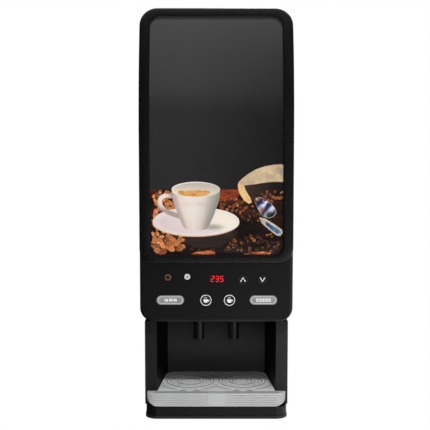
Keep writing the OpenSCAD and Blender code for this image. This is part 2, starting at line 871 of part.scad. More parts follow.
module window_sheet(front, rear) {
    face_layer(front, rear, window_w - 2 * pane_gap, window_z0 + pane_gap, window_z1 - pane_gap,
        window_rt - pane_gap, window_rb - pane_gap);
}

module window_pane() { color([0.2, 0.2, 0.22, 0.4]) window_sheet(4.5, 1.5); }
module graphic_panel() { color("#2c2a29") window_sheet(1.5, 0); }

module backlight_board() {
    y = door_back - 20;
    color("#e9ece8") {
        box([-window_w / 2 + 12, y, window_z0 + 12], [window_w / 2 - 12, y + 1.6, window_z1 - 22]);
        for (i = [-4 : 4], j = [0 : 7])
            box([i * 24 - 2.5, y - 1.2, window_z0 + 30 + j * (window_z1 - window_z0 - 70) / 7 - 2.5],
                [i * 24 + 2.5, y, window_z0 + 30 + j * (window_z1 - window_z0 - 70) / 7 + 2.5]);
    }
}

module door_inner_cover() {
    y = door_back - 3;
    left = hinge_x + hinge_r + 2;
    right = door_w / 2 - door_wall - 1;
    z0 = door_z + door_wall + 1;
    color("#26262a") difference() {
        intersection() {
            box([left, y, z0], [right, y + sheet, overall_h - door_wall - 1]);
            along_y(y - over, y + 2 * sheet)
                outline(door_w - 2 * door_wall - 2, z0, overall_h - door_wall - 1,
                    corner_r - door_wall, shell_rb - door_wall);
        }
        box([cam_x - 4, y - over, lock_z - 20], [cam_x + 7, y + 2 * sheet, lock_z + 52]);
    }
}

module control_overlay() {
    color("#161618") difference() {
        along_y(face_y - overlay_t, face_y) outline(door_w - 12, door_z + 5, bezel_z - 1, 3, 15);
        control_holes(gap, face_y - 2 * overlay_t, face_y + over);
    }
}

module control_board() {
    color("#2f6b3f") {
        box([-115, board_y, row_low - 22], [115, board_y + 1.6, row_high + 22]);
        for (k = keys) rod_y(k[0], 3, board_y - 1.6, board_y);
        for (x = [-108, 108]) rod_y([x, row_low], 3, face_y + door_wall, board_y);
    }
}

module digit_display() {
    w = display_size[0] - 0.4;
    h = display_size[1] - 0.4;
    color("#5a0d0d") {
        box([display_at[0] - w / 2, face_y - overlay_t + 0.3, display_at[1] - h / 2],
            [display_at[0] + w / 2, board_y, display_at[1] + h / 2]);
        box([display_at[0] - w / 2 - 3, face_y + door_wall, display_at[1] - h / 2 - 2],
            [display_at[0] + w / 2 + 3, board_y, display_at[1] + h / 2 + 2]);
    }
}

module ready_lamp() {
    color("#f2f2ee") {
        rod_y(lamp_at, lamp_r - 0.2, face_y - overlay_t - 0.8, board_y);
        rod_y(lamp_at, lamp_r + 2, face_y + door_wall, face_y + door_wall + 2);
    }
}

module selection_labels() {
    r = label_size[1] / 2;
    color("#a9a9ab") for (at = label_at)
        along_y(face_y - overlay_t - 0.8, face_y - overlay_t) translate(at) {
            square([label_size[0] - 2 * r, label_size[1]], center = true);
            for (s = [-1, 1]) translate([s * (label_size[0] / 2 - r), 0]) circle(r);
        }
}

// A round key: its cap, the flange that keeps it in the door, and its stem
module key(k) {
    at = k[0];
    rod_y(at, k[1], face_y - overlay_t - cap_out + 0.4, face_y + door_wall + 2);
    rod_y(at, k[1] + 2.5, face_y + door_wall + 0.5, face_y + door_wall + 2);
    rod_y(at, 2, face_y + door_wall + 1, board_y - 1.6 - key_travel - gap);
}

module standby_key() { color("#141416") key(keys[0]); }
module left_cup_button() { color("#39393b") key(keys[1]); }
module right_cup_button() { color("#39393b") key(keys[2]); }
module up_key() { color("#141416") key(keys[3]); }
module down_key() { color("#141416") key(keys[4]); }

// ---- lock ------------------------------------------------------------------

module lock_barrel() {
    color("#c2c4c6") translate([door_w / 2, lock_y, lock_z]) rotate([0, -90, 0]) difference() {
        union() {
            cylinder(h = 20, r = 8);
            translate([0, 0, door_wall]) cylinder(h = 5, r = 11);
        }
        translate([0, 0, -over]) cylinder(h = 22, r = plug_r + fit);
    }
}

module lock_cam() {
    color("#d2b868") translate([0, lock_y, lock_z]) difference() {
        union() {
            translate([cam_x, 0, 0]) rotate([0, 90, 0]) cylinder(h = door_w / 2 - cam_x, r = plug_r);
            along_x(cam_x, cam_x + 3) {
                translate([-4, -7]) square([8, cam_l + 7]);
                translate([-4, cam_l - 5]) square([4 + tooth_l, 5]);
            }
        }
        box([door_w / 2 - 3, -0.6, -3.5], [door_w / 2 + over, 0.6, 3.5]);
    }
}

// ---- drip tray -------------------------------------------------------------

slide_gap = 0.4;
tray_clear = 1;
tray_wall = 2;
cover_back = cheek_y - 1.5;
tray_rear = cover_back + tray_d;
cover_z = deck_z + slide_gap;
cover_top = cover_z + cover_h;
grille_t = 2;
tray_r = 25;

module drip_tray() {
    top = cover_top - 1;
    color("#1c1c1e") difference() {
        translate([0, 0, cover_z]) linear_extrude(top - cover_z)
            tray_plan(cover_back, tray_rear, tray_clear, tray_r);
        translate([0, 0, cover_z + tray_wall]) linear_extrude(top)
            tray_plan(cover_back + tray_wall, tray_rear - tray_wall, tray_clear + tray_wall,
                tray_r - tray_wall);
    }
}

groove_h = 1.3;
groove_deep = 1;
boss_w = 30;
cover_wall = 3;

cover_rise = 16;
cover_run = 25;

// The cover as seen from the front: its lower corners sweep up
module cover_face(w) {
    half = w / 2;
    sweep = [for (a = [90 : -10 : 0]) [half - cover_run + cover_run * cos(a), cover_rise * (1 - sin(a))]];
    polygon(concat(
        [for (p = sweep) [p[0], cover_z + p[1]]],
        [[half, cover_top], [-half, cover_top]],
        [for (i = [len(sweep) - 1 : -1 : 0]) [-sweep[i][0], cover_z + sweep[i][1]]]
    ));
}

module tray_front_cover() {
    w = base_w - 6;
    r = min(front_r, cover_back - face_y - gap);
    color("#b9babb") intersection() {
        along_y(face_y - over, cover_back + over) cover_face(w);
        difference() {
            translate([0, 0, cover_z - over]) linear_extrude(cover_h + over)
                front_plan(w, face_y, cover_back, r);
            translate([0, 0, cover_z - 2 * over]) linear_extrude(cover_h - cover_wall + 2 * over)
                front_plan(w - 2 * cover_wall, face_y + cover_wall, cover_back - cover_wall,
                    min(r - cover_wall, cover_back - face_y - 2 * cover_wall - gap));
            for (i = [0 : 4]) translate([0, 0, cover_top - 5 - i * 4.2])
                linear_extrude(groove_h) difference() {
                    translate([-w / 2 - over, face_y - over])
                        square([w + 2 * over, cover_back - face_y + 2 * over]);
                    front_plan(w - 2 * groove_deep, face_y + groove_deep, cover_back + 2 * over,
                        r - groove_deep);
                    translate([-boss_w / 2, face_y - 2 * over]) square([boss_w, cover_back - face_y]);
                }
        }
    }
}

ring_x = 50;
ring_y = cover_back + 60;
ring_t = 0.8;
ring_w = 3;

// Short slots on a circle, each along the circle
module ring_slots(r, n, l) {
    for (i = [0 : n - 1]) rotate(360 / n * (i + 0.5)) translate([r, 0]) square([2.4, l], center = true);
}

// Plan of the grille, all edges moved in by less
module grille_plan(less) {
    tray_plan(cover_back + slide_gap + less, tray_rear - 1 - less, tray_clear + 1 + less, tray_r - 1 - less);
}

module drip_grille() {
    z0 = cover_top - 1 + slide_gap;
    color("#a8a9aa") {
        difference() {
            translate([0, 0, z0]) linear_extrude(grille_t) grille_plan(0);
            translate([0, 0, z0 - over]) linear_extrude(grille_t + 2 * over)
                for (s = [-1, 1]) translate([s * ring_x, ring_y]) {
                    ring_slots(12, 5, 8);
                    ring_slots(32, 12, 10);
                }
        }
        intersection() {
            translate([0, 0, z0 + grille_t]) linear_extrude(ring_t) grille_plan(4);
            for (s = [-1, 1], r = [22, 42, 59])
                translate([s * ring_x, ring_y, z0 + grille_t - over]) difference() {
                    cylinder(h = ring_t + 2 * over, r = r + ring_w / 2);
                    translate([0, 0, -over]) cylinder(h = ring_t + 4 * over, r = r - ring_w / 2);
                }
        }
    }
}

base_skirt();
rubber_feet();
left_side_panel();
right_side_panel();
rear_panel();
top_panel();
bay_left_cheek();
bay_right_cheek();
bay_back_panel();
bay_ceiling();
component_plate();
canister_shelf();
hinge_brackets();
lock_strike();
left_canister();
right_canister();
auger_motors();
left_mixing_bowl();
right_mixing_bowl();
whipper_housings();
whipper_motors();
dispensing_nozzles();
drink_hoses();
water_tank();
tank_lid();
heating_element();
water_valves();
water_pipes();
inlet_valve();
power_board();
power_inlet();
panel_screws();
door_shell();
door_bezel();
window_pane();
graphic_panel();
backlight_board();
door_inner_cover();
control_overlay();
control_board();
digit_display();
ready_lamp();
selection_labels();
lock_barrel();
drip_tray();
tray_front_cover();
drip_grille();
standby_key();
left_cup_button();
right_cup_button();
up_key();
down_key();
lock_cam();
left_canister_lid();
right_canister_lid();
left_auger();
right_auger();
left_whipper();
right_whipper();
rocker_switch();
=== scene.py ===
import math

import bmesh
import bpy
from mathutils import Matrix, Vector


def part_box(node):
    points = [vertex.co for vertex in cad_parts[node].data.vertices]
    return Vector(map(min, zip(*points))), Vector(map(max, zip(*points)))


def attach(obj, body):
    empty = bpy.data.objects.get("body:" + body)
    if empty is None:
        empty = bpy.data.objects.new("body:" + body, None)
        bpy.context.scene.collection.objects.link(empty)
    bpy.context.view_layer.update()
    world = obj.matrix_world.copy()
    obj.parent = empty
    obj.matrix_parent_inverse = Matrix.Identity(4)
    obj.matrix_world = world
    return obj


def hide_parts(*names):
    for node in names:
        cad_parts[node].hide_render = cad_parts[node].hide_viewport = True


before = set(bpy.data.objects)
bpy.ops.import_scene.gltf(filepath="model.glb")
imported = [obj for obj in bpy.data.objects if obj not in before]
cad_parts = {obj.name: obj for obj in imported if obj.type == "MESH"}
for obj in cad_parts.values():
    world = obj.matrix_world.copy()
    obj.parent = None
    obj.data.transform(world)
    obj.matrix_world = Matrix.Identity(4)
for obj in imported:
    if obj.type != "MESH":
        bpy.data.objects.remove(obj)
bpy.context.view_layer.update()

# ---- studio ----------------------------------------------------------------
# A pale floor that shows as plain white, in a room that is dark but for its upper part. A
# key lamp high in front, a low fill, two tall strips and a rear lamp light the machine.

floor_half = 2.5
bpy.ops.mesh.primitive_grid_add(x_subdivisions=8, y_subdivisions=8, size=2 * floor_half)
floor = bpy.context.object
floor.name = "studio_floor"
for corner in floor.data.vertices:
    corner.co.y += floor_half - 0.9
    corner.co.z -= 0.0004
floor.visible_glossy = False


def rgb(r, g, b):
    """A colour given as the eye sees it, 0 to 255, as the light values that a shader wants."""
    return tuple(((c / 255 + 0.055) / 1.055) ** 2.4 if c > 10 else c / 255 / 12.92 for c in (r, g, b))


class Wire:
    """A value that changes over a surface: a node's output that takes part in ordinary sums."""

    def __init__(self, tree, socket=None):
        self.tree, self.socket = tree, socket

    def node(self, kind, settings=None, sockets=None, out=0):
        n = self.tree.nodes.new(kind)
        for key, value in (settings or {}).items():
            if key == "stops":
                while len(n.color_ramp.elements) < len(value):
                    n.color_ramp.elements.new(0.5)
                for e, (at, colour) in zip(n.color_ramp.elements, value):
                    e.position, e.color = at, (*colour, 1)
            else:
                setattr(n, key, value)
        for key, value in (sockets or {}).items():
            if isinstance(value, Wire):
                self.tree.links.new(value.socket, n.inputs[key])
            elif isinstance(value, tuple) and len(value) == 3 and n.inputs[key].type == "RGBA":
                n.inputs[key].default_value = (*value, 1)
            else:
                n.inputs[key].default_value = value
        return Wire(self.tree, n.outputs[out] if n.outputs else None)

    def math(self, operation, a, b=0.0, clamp=False):
        return self.node("ShaderNodeMath", {"operation": operation, "use_clamp": clamp}, {0: a, 1: b})

    def __add__(self, other):
        return self.math("ADD", self, other)

    def __sub__(self, other):
        return self.math("SUBTRACT", self, other)

    def __mul__(self, other):
        return self.math("MULTIPLY", self, other)

    def __truediv__(self, other):
        return self.math("DIVIDE", self, other)

    def __rsub__(self, other):
        return self.math("SUBTRACT", other, self)

    def __rtruediv__(self, other):
        return self.math("DIVIDE", other, self)

    __radd__, __rmul__ = __add__, __mul__

    def clip(self):
        return self.math("ADD", self, 0.0, clamp=True)

    def fract(self):
        return self.math("FRACT", self)

    def absolute(self):
        return self.math("ABSOLUTE", self)

    def root(self):
        return self.math("SQRT", self)

    def wave(self):
        return self.math("SINE", self)

    def axes(self):
        return [self.node("ShaderNodeSeparateXYZ", None, {0: self}, out=i) for i in range(3)]

    def stretch(self, x, y, z):
        return self.node("ShaderNodeMapping", None, {"Vector": self, "Scale": (x, y, z)})

    def noise(self, scale, detail=3.0, rough=0.5):
        return self.node(
            "ShaderNodeTexNoise", None,
            {"Vector": self, "Scale": scale, "Detail": detail, "Roughness": rough})

    def cells(self, scale, feature="F1", out=0):
        return self.node(
            "ShaderNodeTexVoronoi", {"feature": feature}, {"Vector": self, "Scale": scale}, out=out)

    def step(self, low, high):
        """0 below low, 1 above high, smooth between."""
        return self.node(
            "ShaderNodeMapRange", {"interpolation_type": "SMOOTHSTEP"}, {0: self, 1: low, 2: high})

    def tint(self, a, b):
        """Colour a where this value is 0 and colour b where it is 1."""
        return self.node("ShaderNodeMix", {"data_type": "RGBA"}, {0: self, 6: a, 7: b}, out=2)

    def ramp(self, *stops):
        return self.node("ShaderNodeValToRGB", {"stops": stops}, {0: self})


def surface(
        name, base, rough=0.5, metal=0.0, height=None, depth=0.0001, glow=None, glow_strength=0.0,
        **constants):
    """A finish. Its colour, roughness, metal, relief and glow may each be a rule on the piece's place."""
    material = bpy.data.materials.new(name)
    material.use_nodes = True
    tree = material.node_tree
    tree.nodes.clear()
    p = Wire(tree).node("ShaderNodeTexCoord", out=3)

    def value(v):
        return v(p) if callable(v) else v

    sockets = {"Base Color": value(base), "Roughness": value(rough), "Metallic": value(metal)}
    if glow is not None:
        sockets.update({"Emission Color": value(glow), "Emission Strength": glow_strength})
    if height is not None:
        sockets["Normal"] = p.node(
            "ShaderNodeBump", None, {"Strength": 1.0, "Distance": depth, "Height": value(height)})
    sockets.update({k.replace("_", " "): v for k, v in constants.items()})
    shader = p.node("ShaderNodeBsdfPrincipled", None, sockets)
    p.node("ShaderNodeOutputMaterial", None, {"Surface": shader})
    return material


floor_paint = surface(
    "floor_paint",
    lambda p: p.noise(3, 2).tint(rgb(246, 246, 246), rgb(250, 250, 250)),
    rough=lambda p: p.noise(40, 4) * 0.1 + 0.85,
    glow=lambda p: p.noise(3, 2).tint(rgb(255, 255, 255), rgb(252, 252, 252)), glow_strength=0.45)
floor.data.materials.append(floor_paint)
sweep = Wire(floor_paint.node_tree)
painted = next(n for n in floor_paint.node_tree.nodes if n.type == "BSDF_PRINCIPLED").outputs[0]
seen = sweep.node("ShaderNodeLightPath")
white = sweep.node("ShaderNodeEmission", None, {"Color": (1.0, 1.0, 1.0), "Strength": 1.0})
blend = sweep.node("ShaderNodeMixShader", None, {0: seen, 1: Wire(floor_paint.node_tree, painted), 2: white})
sweep.node("ShaderNodeOutputMaterial", {"is_active_output": True}, {"Surface": blend})

world = bpy.data.worlds.new("studio_world")
bpy.context.scene.world = world
world.use_nodes = True
world.node_tree.nodes.clear()
room = Wire(world.node_tree)
sideways, _, up = room.node("ShaderNodeTexCoord").axes()
glow = ((up + 1) / 2).ramp(
    (0.0, (0.02,) * 3), (0.70, (0.02,) * 3), (0.764, (0.05,) * 3), (0.835, (0.15,) * 3), (0.872, (0.26,) * 3),
    (1.0, (0.6,) * 3))
glow = ((sideways * 6 + 0.45).clip() * (1 - up.step(-0.15, -0.11)) * 0.85).tint(glow, (1.0, 1.0, 1.0))
looked_at = room.node("ShaderNodeLightPath")
shown = looked_at.tint(glow, (1.0, 1.0, 1.0))
room.node(
    "ShaderNodeOutputWorld", None,
    {"Surface": room.node("ShaderNodeBackground", None, {"Color": shown, "Strength": 1.0})})


def lamp(name, at, aim, size, power, height=None, glossy=True):
    """A soft lamp at one point that faces another."""
    data = bpy.data.lights.new(name, "AREA")
    data.shape, data.size, data.size_y, data.energy = "RECTANGLE", size, height or size, power
    obj = bpy.data.objects.new(name, data)
    obj.location = at
    obj.rotation_euler = (Vector(aim) - Vector(at)).to_track_quat("-Z", "Y").to_euler()
    obj.visible_glossy = glossy
    bpy.context.scene.collection.objects.link(obj)


lamp("key_lamp", (0.35, -1.45, 2.05), (0, -0.15, 0.15), 0.18, 46, glossy=False)
lamp("front_fill", (0.15, -1.55, 0.55), (0, -0.1, 0.2), 0.30, 5, glossy=False)
lamp("left_strip", (-1.5, -0.9, 0.5), (-0.1, -0.2, 0.42), 0.25, 9, height=1.5, glossy=False)
lamp("right_strip", (1.5, -0.9, 0.5), (0.1, -0.2, 0.42), 0.30, 15, height=1.5, glossy=False)
lamp("rear_lamp", (0.6, 2.0, 1.6), (0, 0.2, 0.4), 1.2, 30)

camera_data = bpy.data.cameras.new("studio_camera")
camera_data.sensor_width = 36
camera_data.lens = 69.34
camera = bpy.data.objects.new("studio_camera", camera_data)
camera.location = (-0.0025, -1.720, 0.4966)
looking_down = 4.42
camera.rotation_euler = (math.radians(90 - looking_down), 0, 0)
bpy.context.scene.collection.objects.link(camera)
bpy.context.scene.camera = camera
bpy.context.scene.view_settings.view_transform = "Standard"

# ---- base and feet ---------------------------------------------------------
# The base is one black injection-moulded pan with a drawn lip round its foot. Four soft
# rubber feet are pressed into bosses under it.


def dress(finish, *nodes):
    """Gives carried-over solids their finish."""
    for n in nodes:
        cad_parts[n].data.materials.clear()
        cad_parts[n].data.materials.append(finish)


def moulded(name, colour, rough=0.42, grain=1400, depth=0.00004, spread=0.25, **constants):
    """Moulded plastic: a fine grain, faint flow marks in the colour and gloss that wanders a little."""
    lighter = tuple(c * (1 + spread) + 0.001 for c in colour)
    return surface(
        name,
        lambda p: p.noise(9, 4).step(0.3, 0.75).tint(colour, lighter),
        rough=lambda p: p.noise(30, 4) * 0.12 + (rough - 0.06),
        height=lambda p: p.noise(grain, 2),
        depth=depth, **constants)


# The lip at the foot, below about 8 mm, is painted lighter: a painted highlight along it.
base_plastic = surface(
    "base_plastic",
    lambda p: (p.noise(9, 4) * 0.25 + (1 - p.axes()[2].step(0.0075, 0.0085)) * 0.75).tint(
        (0.0008, 0.0008, 0.0009), (0.013, 0.013, 0.0135)),
    rough=lambda p: p.noise(30, 4) * 0.12 + 0.34,
    height=lambda p: p.noise(1400, 2), depth=0.00004)
dress(base_plastic, "base_skirt")
foot_rubber = surface(
    "foot_rubber",
    lambda p: p.noise(60, 4).tint((0.018, 0.018, 0.018), (0.035, 0.034, 0.033)),
    rough=lambda p: p.noise(120, 3) * 0.15 + 0.72,
    height=lambda p: p.noise(900, 3), depth=0.00008)
dress(foot_rubber, "rubber_feet")

# ---- cabinet panels --------------------------------------------------------
# Folded steel sheet, powder coated in satin black, screwed together at the rear corners.
# The coat has a fine orange peel and a little dust in it.

cabinet_coat = surface(
    "cabinet_coat",
    lambda p: (p.noise(4, 5).step(0.35, 0.8) * 0.6 + p.noise(700, 2).step(0.66, 0.8) * 0.4).tint(
        (0.010, 0.010, 0.011), (0.020, 0.020, 0.021)),
    rough=lambda p: p.noise(12, 4) * 0.16 + 0.36,
    height=lambda p: p.noise(420, 2) + p.noise(1500, 1) * 0.25, depth=0.00005)
dress(cabinet_coat, "left_side_panel", "right_side_panel", "top_panel", "rear_panel", "lock_strike")
zinc = surface(
    "zinc_plate",
    lambda p: p.cells(120).step(0.0, 0.9).tint((0.44, 0.45, 0.47), (0.60, 0.61, 0.62)),
    rough=lambda p: p.noise(70, 4) * 0.25 + 0.30, metal=0.92,
    height=lambda p: p.noise(500, 3), depth=0.00002)
dress(zinc, "hinge_brackets", "panel_screws")

# ---- dispensing bay --------------------------------------------------------
# The cheeks, back and ceiling of the cup bay are matt black mouldings that clip to the
# cabinet. The back wall is greyer low down, where the grille throws light on it.

# Below about 13 cm the colour is painted lighter: painted light thrown up from the grille.
bay_black = surface(
    "bay_black",
    lambda p: (p.noise(14, 5).step(0.4, 0.8) * 0.5 + (1 - p.axes()[2].step(0.06, 0.13)) * 0.5).tint(
        (0.0050, 0.0050, 0.0055), (0.0095, 0.0092, 0.0090)),
    rough=lambda p: p.noise(26, 4) * 0.14 + 0.42,
    height=lambda p: p.noise(1300, 2), depth=0.00005)
dress(bay_black, "bay_ceiling")
# The front faces are painted lighter towards the right cheek, where light from the right falls, and all
# behind them is painted near black as shade inside the bay.
cheek_black = surface(
    "cheek_black",
    lambda p: (p.axes()[1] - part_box("bay_left_cheek")[0].y).step(0.0010, 0.0030).tint(
        (p.axes()[0].step(-0.02, 0.02) * 0.6 + p.noise(14, 5) * 0.4).tint(
            (0.0070, 0.0070, 0.0073), (0.019, 0.019, 0.0195)), (0.0002, 0.0002, 0.0002)),
    rough=lambda p: p.noise(26, 4) * 0.14 + 0.46,
    height=lambda p: p.noise(1300, 2), depth=0.00004, Specular_IOR_Level=0.12)
dress(cheek_black, "bay_left_cheek", "bay_right_cheek")
bay_grey = surface(
    "bay_grey",
    lambda p: (p.noise(9, 5).step(0.35, 0.8) * 0.15 + (1 - p.axes()[2].step(0.085, 0.165)) * 0.85).tint(
        (0.0050, 0.0050, 0.0050), (0.046, 0.045, 0.044)),
    rough=lambda p: p.noise(26, 4) * 0.14 + 0.46,
    height=lambda p: p.noise(1300, 2), depth=0.00005)
dress(bay_grey, "bay_back_panel")

# ---- inner plate and shelf -------------------------------------------------
# Galvanised sheet with the usual frosty spangle. The plate carries everything that works
# the machine, and the shelf holds up the canisters.

galvanised = surface(
    "galvanised_sheet",
    lambda p: p.node("ShaderNodeSeparateColor", None, {0: p.cells(85, out=1)}).tint(
        (0.40, 0.42, 0.44), (0.62, 0.64, 0.66)),
    rough=lambda p: p.cells(85) * 0.2 + 0.32, metal=0.85,
    height=lambda p: p.cells(85), depth=0.00002)
dress(galvanised, "component_plate", "canister_shelf")

# ---- powder canisters ------------------------------------------------------
# Two milky food-grade plastic hoppers with hinged lids. A screw in each trough pushes the
# powder forward, turned by a gear motor behind the plate.

canister_plastic = moulded(
    "canister_milk", (0.62, 0.61, 0.56), rough=0.30, grain=500, depth=0.00003, spread=0.10,
    Subsurface_Weight=0.15)
dress(canister_plastic, "left_canister", "right_canister")
lid_plastic = moulded("lid_brown", (0.040, 0.024, 0.016), rough=0.36, spread=0.3)
dress(lid_plastic, "left_canister_lid", "right_canister_lid")
auger_plastic = moulded("auger_white", (0.74, 0.74, 0.72), rough=0.34, grain=700, spread=0.06)
dress(auger_plastic, "left_auger", "right_auger")
motor_can = surface(
    "motor_can",
    lambda p: p.stretch(1, 1, 12).noise(90, 4).tint((0.34, 0.34, 0.35), (0.52, 0.52, 0.53)),
    rough=lambda p: p.noise(200, 3) * 0.2 + 0.30, metal=0.9,
    height=lambda p: p.stretch(1, 1, 20).noise(300, 2), depth=0.00002)
dress(motor_can, "auger_motors", "whipper_motors")

# ---- mixing and dispensing -------------------------------------------------
# Powder and hot water meet in white bowls, whisks in the housings beneath beat the drink,
# and clear silicone hoses lead it to two black nozzles over the cup.

dress(auger_plastic, "left_mixing_bowl", "right_mixing_bowl", "whipper_housings")
whisk_plastic = moulded("whisk_blue", (0.10, 0.20, 0.34), rough=0.36, grain=800, spread=0.12)
dress(whisk_plastic, "left_whipper", "right_whipper")
silicone = surface(
    "hose_silicone",
    lambda p: p.noise(45, 4).tint((0.66, 0.58, 0.46), (0.80, 0.75, 0.66)),
    rough=lambda p: p.noise(160, 3) * 0.12 + 0.24,
    height=lambda p: p.noise(300, 2), depth=0.00003, Subsurface_Weight=0.2)
dress(silicone, "drink_hoses")
nozzle_black = moulded("nozzle_black", (0.006, 0.006, 0.0065), rough=0.30, grain=1800, depth=0.00002)
dress(nozzle_black, "dispensing_nozzles")

# ---- water system ----------------------------------------------------------
# A brushed stainless tank with a coiled element through its lid, brass valves and a
# solenoid at the inlet where the mains water screws on.

tank_steel = surface(
    "tank_steel",
    lambda p: p.stretch(1, 1, 30).noise(40, 4).tint((0.52, 0.52, 0.53), (0.70, 0.70, 0.70)),
    rough=lambda p: p.stretch(1, 1, 40).noise(60, 3) * 0.22 + 0.22, metal=0.96,
    height=lambda p: p.stretch(1, 1, 60).noise(120, 2), depth=0.00002)
dress(tank_steel, "water_tank", "tank_lid", "heating_element")
brass = surface(
    "valve_brass",
    lambda p: p.noise(80, 4).tint((0.55, 0.38, 0.14), (0.72, 0.54, 0.26)),
    rough=lambda p: p.noise(220, 3) * 0.2 + 0.28, metal=0.95,
    height=lambda p: p.noise(700, 3), depth=0.00003)
dress(brass, "water_valves", "inlet_valve")
dress(silicone, "water_pipes")

# ---- boards and power ------------------------------------------------------
# Green fibreglass boards with copper tracks under the lacquer, and a black mains inlet
# with a rocker switch at the rear foot of the cabinet.

board_green = surface(
    "board_green",
    lambda p: (p.cells(160, "DISTANCE_TO_EDGE").step(0.02, 0.05)).tint(
        (0.16, 0.32, 0.10), (0.012, 0.085, 0.030)),
    rough=lambda p: p.noise(300, 3) * 0.12 + 0.26,
    height=lambda p: 1 - p.cells(160, "DISTANCE_TO_EDGE").step(0.02, 0.05), depth=0.00005)
dress(board_green, "power_board", "control_board", "backlight_board")
dress(moulded("inlet_black", (0.014, 0.014, 0.015), rough=0.34), "power_inlet", "rocker_switch")

# ---- door shell ------------------------------------------------------------
# One deep black moulding: flat over the controls, then rolled back in a long curve to the
# top. Its edges are well rounded, and the window is cut right through it.

face = -222.0
curve_z, curve_r = 525.0, 650.0
door_w, door_z0, door_z1, door_back = 280.0, 184.0, 757.0, -142.0
window = (241.0, 309.0, 741.0, 20.0, 16.0)


def face_at(z, out=0.0):
    """How far forward the door's face is at height z, or a skin that stands out from it."""
    if z <= curve_z:
        return face - out
    return face + curve_r - math.sqrt((curve_r + out) ** 2 - (z - curve_z) ** 2)


def outline(w, z0, z1, top_r, foot_r, less=0.0):
    """A rounded upright frame shape, always with the same number of points."""
    h, z0, z1 = w / 2 - less, z0 + less, z1 - less
    top_r, foot_r = max(top_r - less, 0.05), max(foot_r - less, 0.05)
    steps_across, steps_up, steps_round = 8, 44, 10

    def straight(a, b, n):
        return [(a[0] + (b[0] - a[0]) * i / n, a[1] + (b[1] - a[1]) * i / n) for i in range(n)]

    def bend(cx, cz, r, start):
        turns = [math.radians(start + 90 * i / steps_round) for i in range(steps_round)]
        return [(cx + r * math.cos(a), cz + r * math.sin(a)) for a in turns]

    points = straight((-h + foot_r, z0), (h - foot_r, z0), steps_across)
    points += bend(h - foot_r, z0 + foot_r, foot_r, -90)
    points += straight((h, z0 + foot_r), (h, z1 - top_r), steps_up)
    points += bend(h - top_r, z1 - top_r, top_r, 0)
    points += straight((h - top_r, z1), (-h + top_r, z1), steps_across)
    points += bend(-h + top_r, z1 - top_r, top_r, 90)
    points += straight((-h, z1 - top_r), (-h, z0 + foot_r), steps_up)
    points += bend(-h + foot_r, z0 + foot_r, foot_r, 180)
    return points


def piece(name, points, faces, finish, smooth=True, angle=38):
    """A mesh given in millimetres, with its faces turned outward and its real corners kept crisp."""
    mesh = bpy.data.meshes.new(name)
    mesh.from_pydata([(x / 1000, y / 1000, z / 1000) for x, y, z in points], [], faces)
    b = bmesh.new()
    b.from_mesh(mesh)
    bmesh.ops.recalc_face_normals(b, faces=b.faces)
    b.to_mesh(mesh)
    b.free()
    for f in mesh.polygons:
        f.use_smooth = smooth
    if smooth:
        mesh.set_sharp_from_angle(angle=math.radians(angle))
    mesh.materials.append(finish)
    obj = bpy.data.objects.new(name, mesh)
    bpy.context.scene.collection.objects.link(obj)
    return obj


def loft(name, rings, finish, tube=False, angle=38):
    """A skin over rings with equal counts of points, closed into a tube or capped at both ends."""
    n, m = len(rings[0]), len(rings)
    faces = []
    for j in range(m if tube else m - 1):
        a, b = j * n, (j + 1) % m * n
        faces += [(a + i, a + (i + 1) % n, b + (i + 1) % n, b + i) for i in range(n)]
    if not tube:
        faces += [tuple(range(n - 1, -1, -1)), tuple(range((m - 1) * n, m * n))]
    return piece(name, [p for r in rings for p in r], faces, finish, angle=angle)


door_plastic = surface(
    "door_plastic",
    lambda p: (p.noise(7, 4).step(0.35, 0.8) * 0.7 + p.noise(900, 1).step(0.7, 0.8) * 0.3).tint(
        (0.0040, 0.0040, 0.0043), (0.0075, 0.0075, 0.0078)),
    rough=lambda p: p.noise(22, 4) * 0.10 + 0.27,
    height=lambda p: p.noise(1500, 2), depth=0.00002)
door_shape = (door_w, door_z0, door_z1, 32.0, 26.0)
skin = 3.0
rings = [[(x, door_back, z) for x, z in outline(*door_shape)]]
for less, out in ((0, -5.0), (0.35, -3.2), (1.3, -1.5), (2.8, -0.4), (4.6, 0.0)):
    rings.append([(x, face_at(z, out), z) for x, z in outline(*door_shape, less)])
rim, hole = outline(*door_shape, 4.6), outline(*window)
for t in (0.33, 0.66, 1.0):
    flat = [(a[0] + (b[0] - a[0]) * t, a[1] + (b[1] - a[1]) * t) for a, b in zip(rim, hole)]
    rings.append([(x, face_at(z), z) for x, z in flat])
rings.append([(x, face_at(z, -skin), z) for x, z in hole])
rings.append([(x, face_at(z, -skin - 2.2), z) for x, z in outline(*door_shape, skin + 2)])
rings.append([(x, door_back, z) for x, z in outline(*door_shape, skin)])
door_skin = loft("door_skin", rings, door_plastic, tube=True)


def rod(x, y, z0, z1, r, n=48):
    """An upright cylinder that is joined to the shell or cut from it."""
    turn = [2 * math.pi * i / n for i in range(n)]
    return loft(
        "rod", [[(x + r * math.cos(a), y + r * math.sin(a), z) for a in turn] for z in (z0, z1)],
        door_plastic)


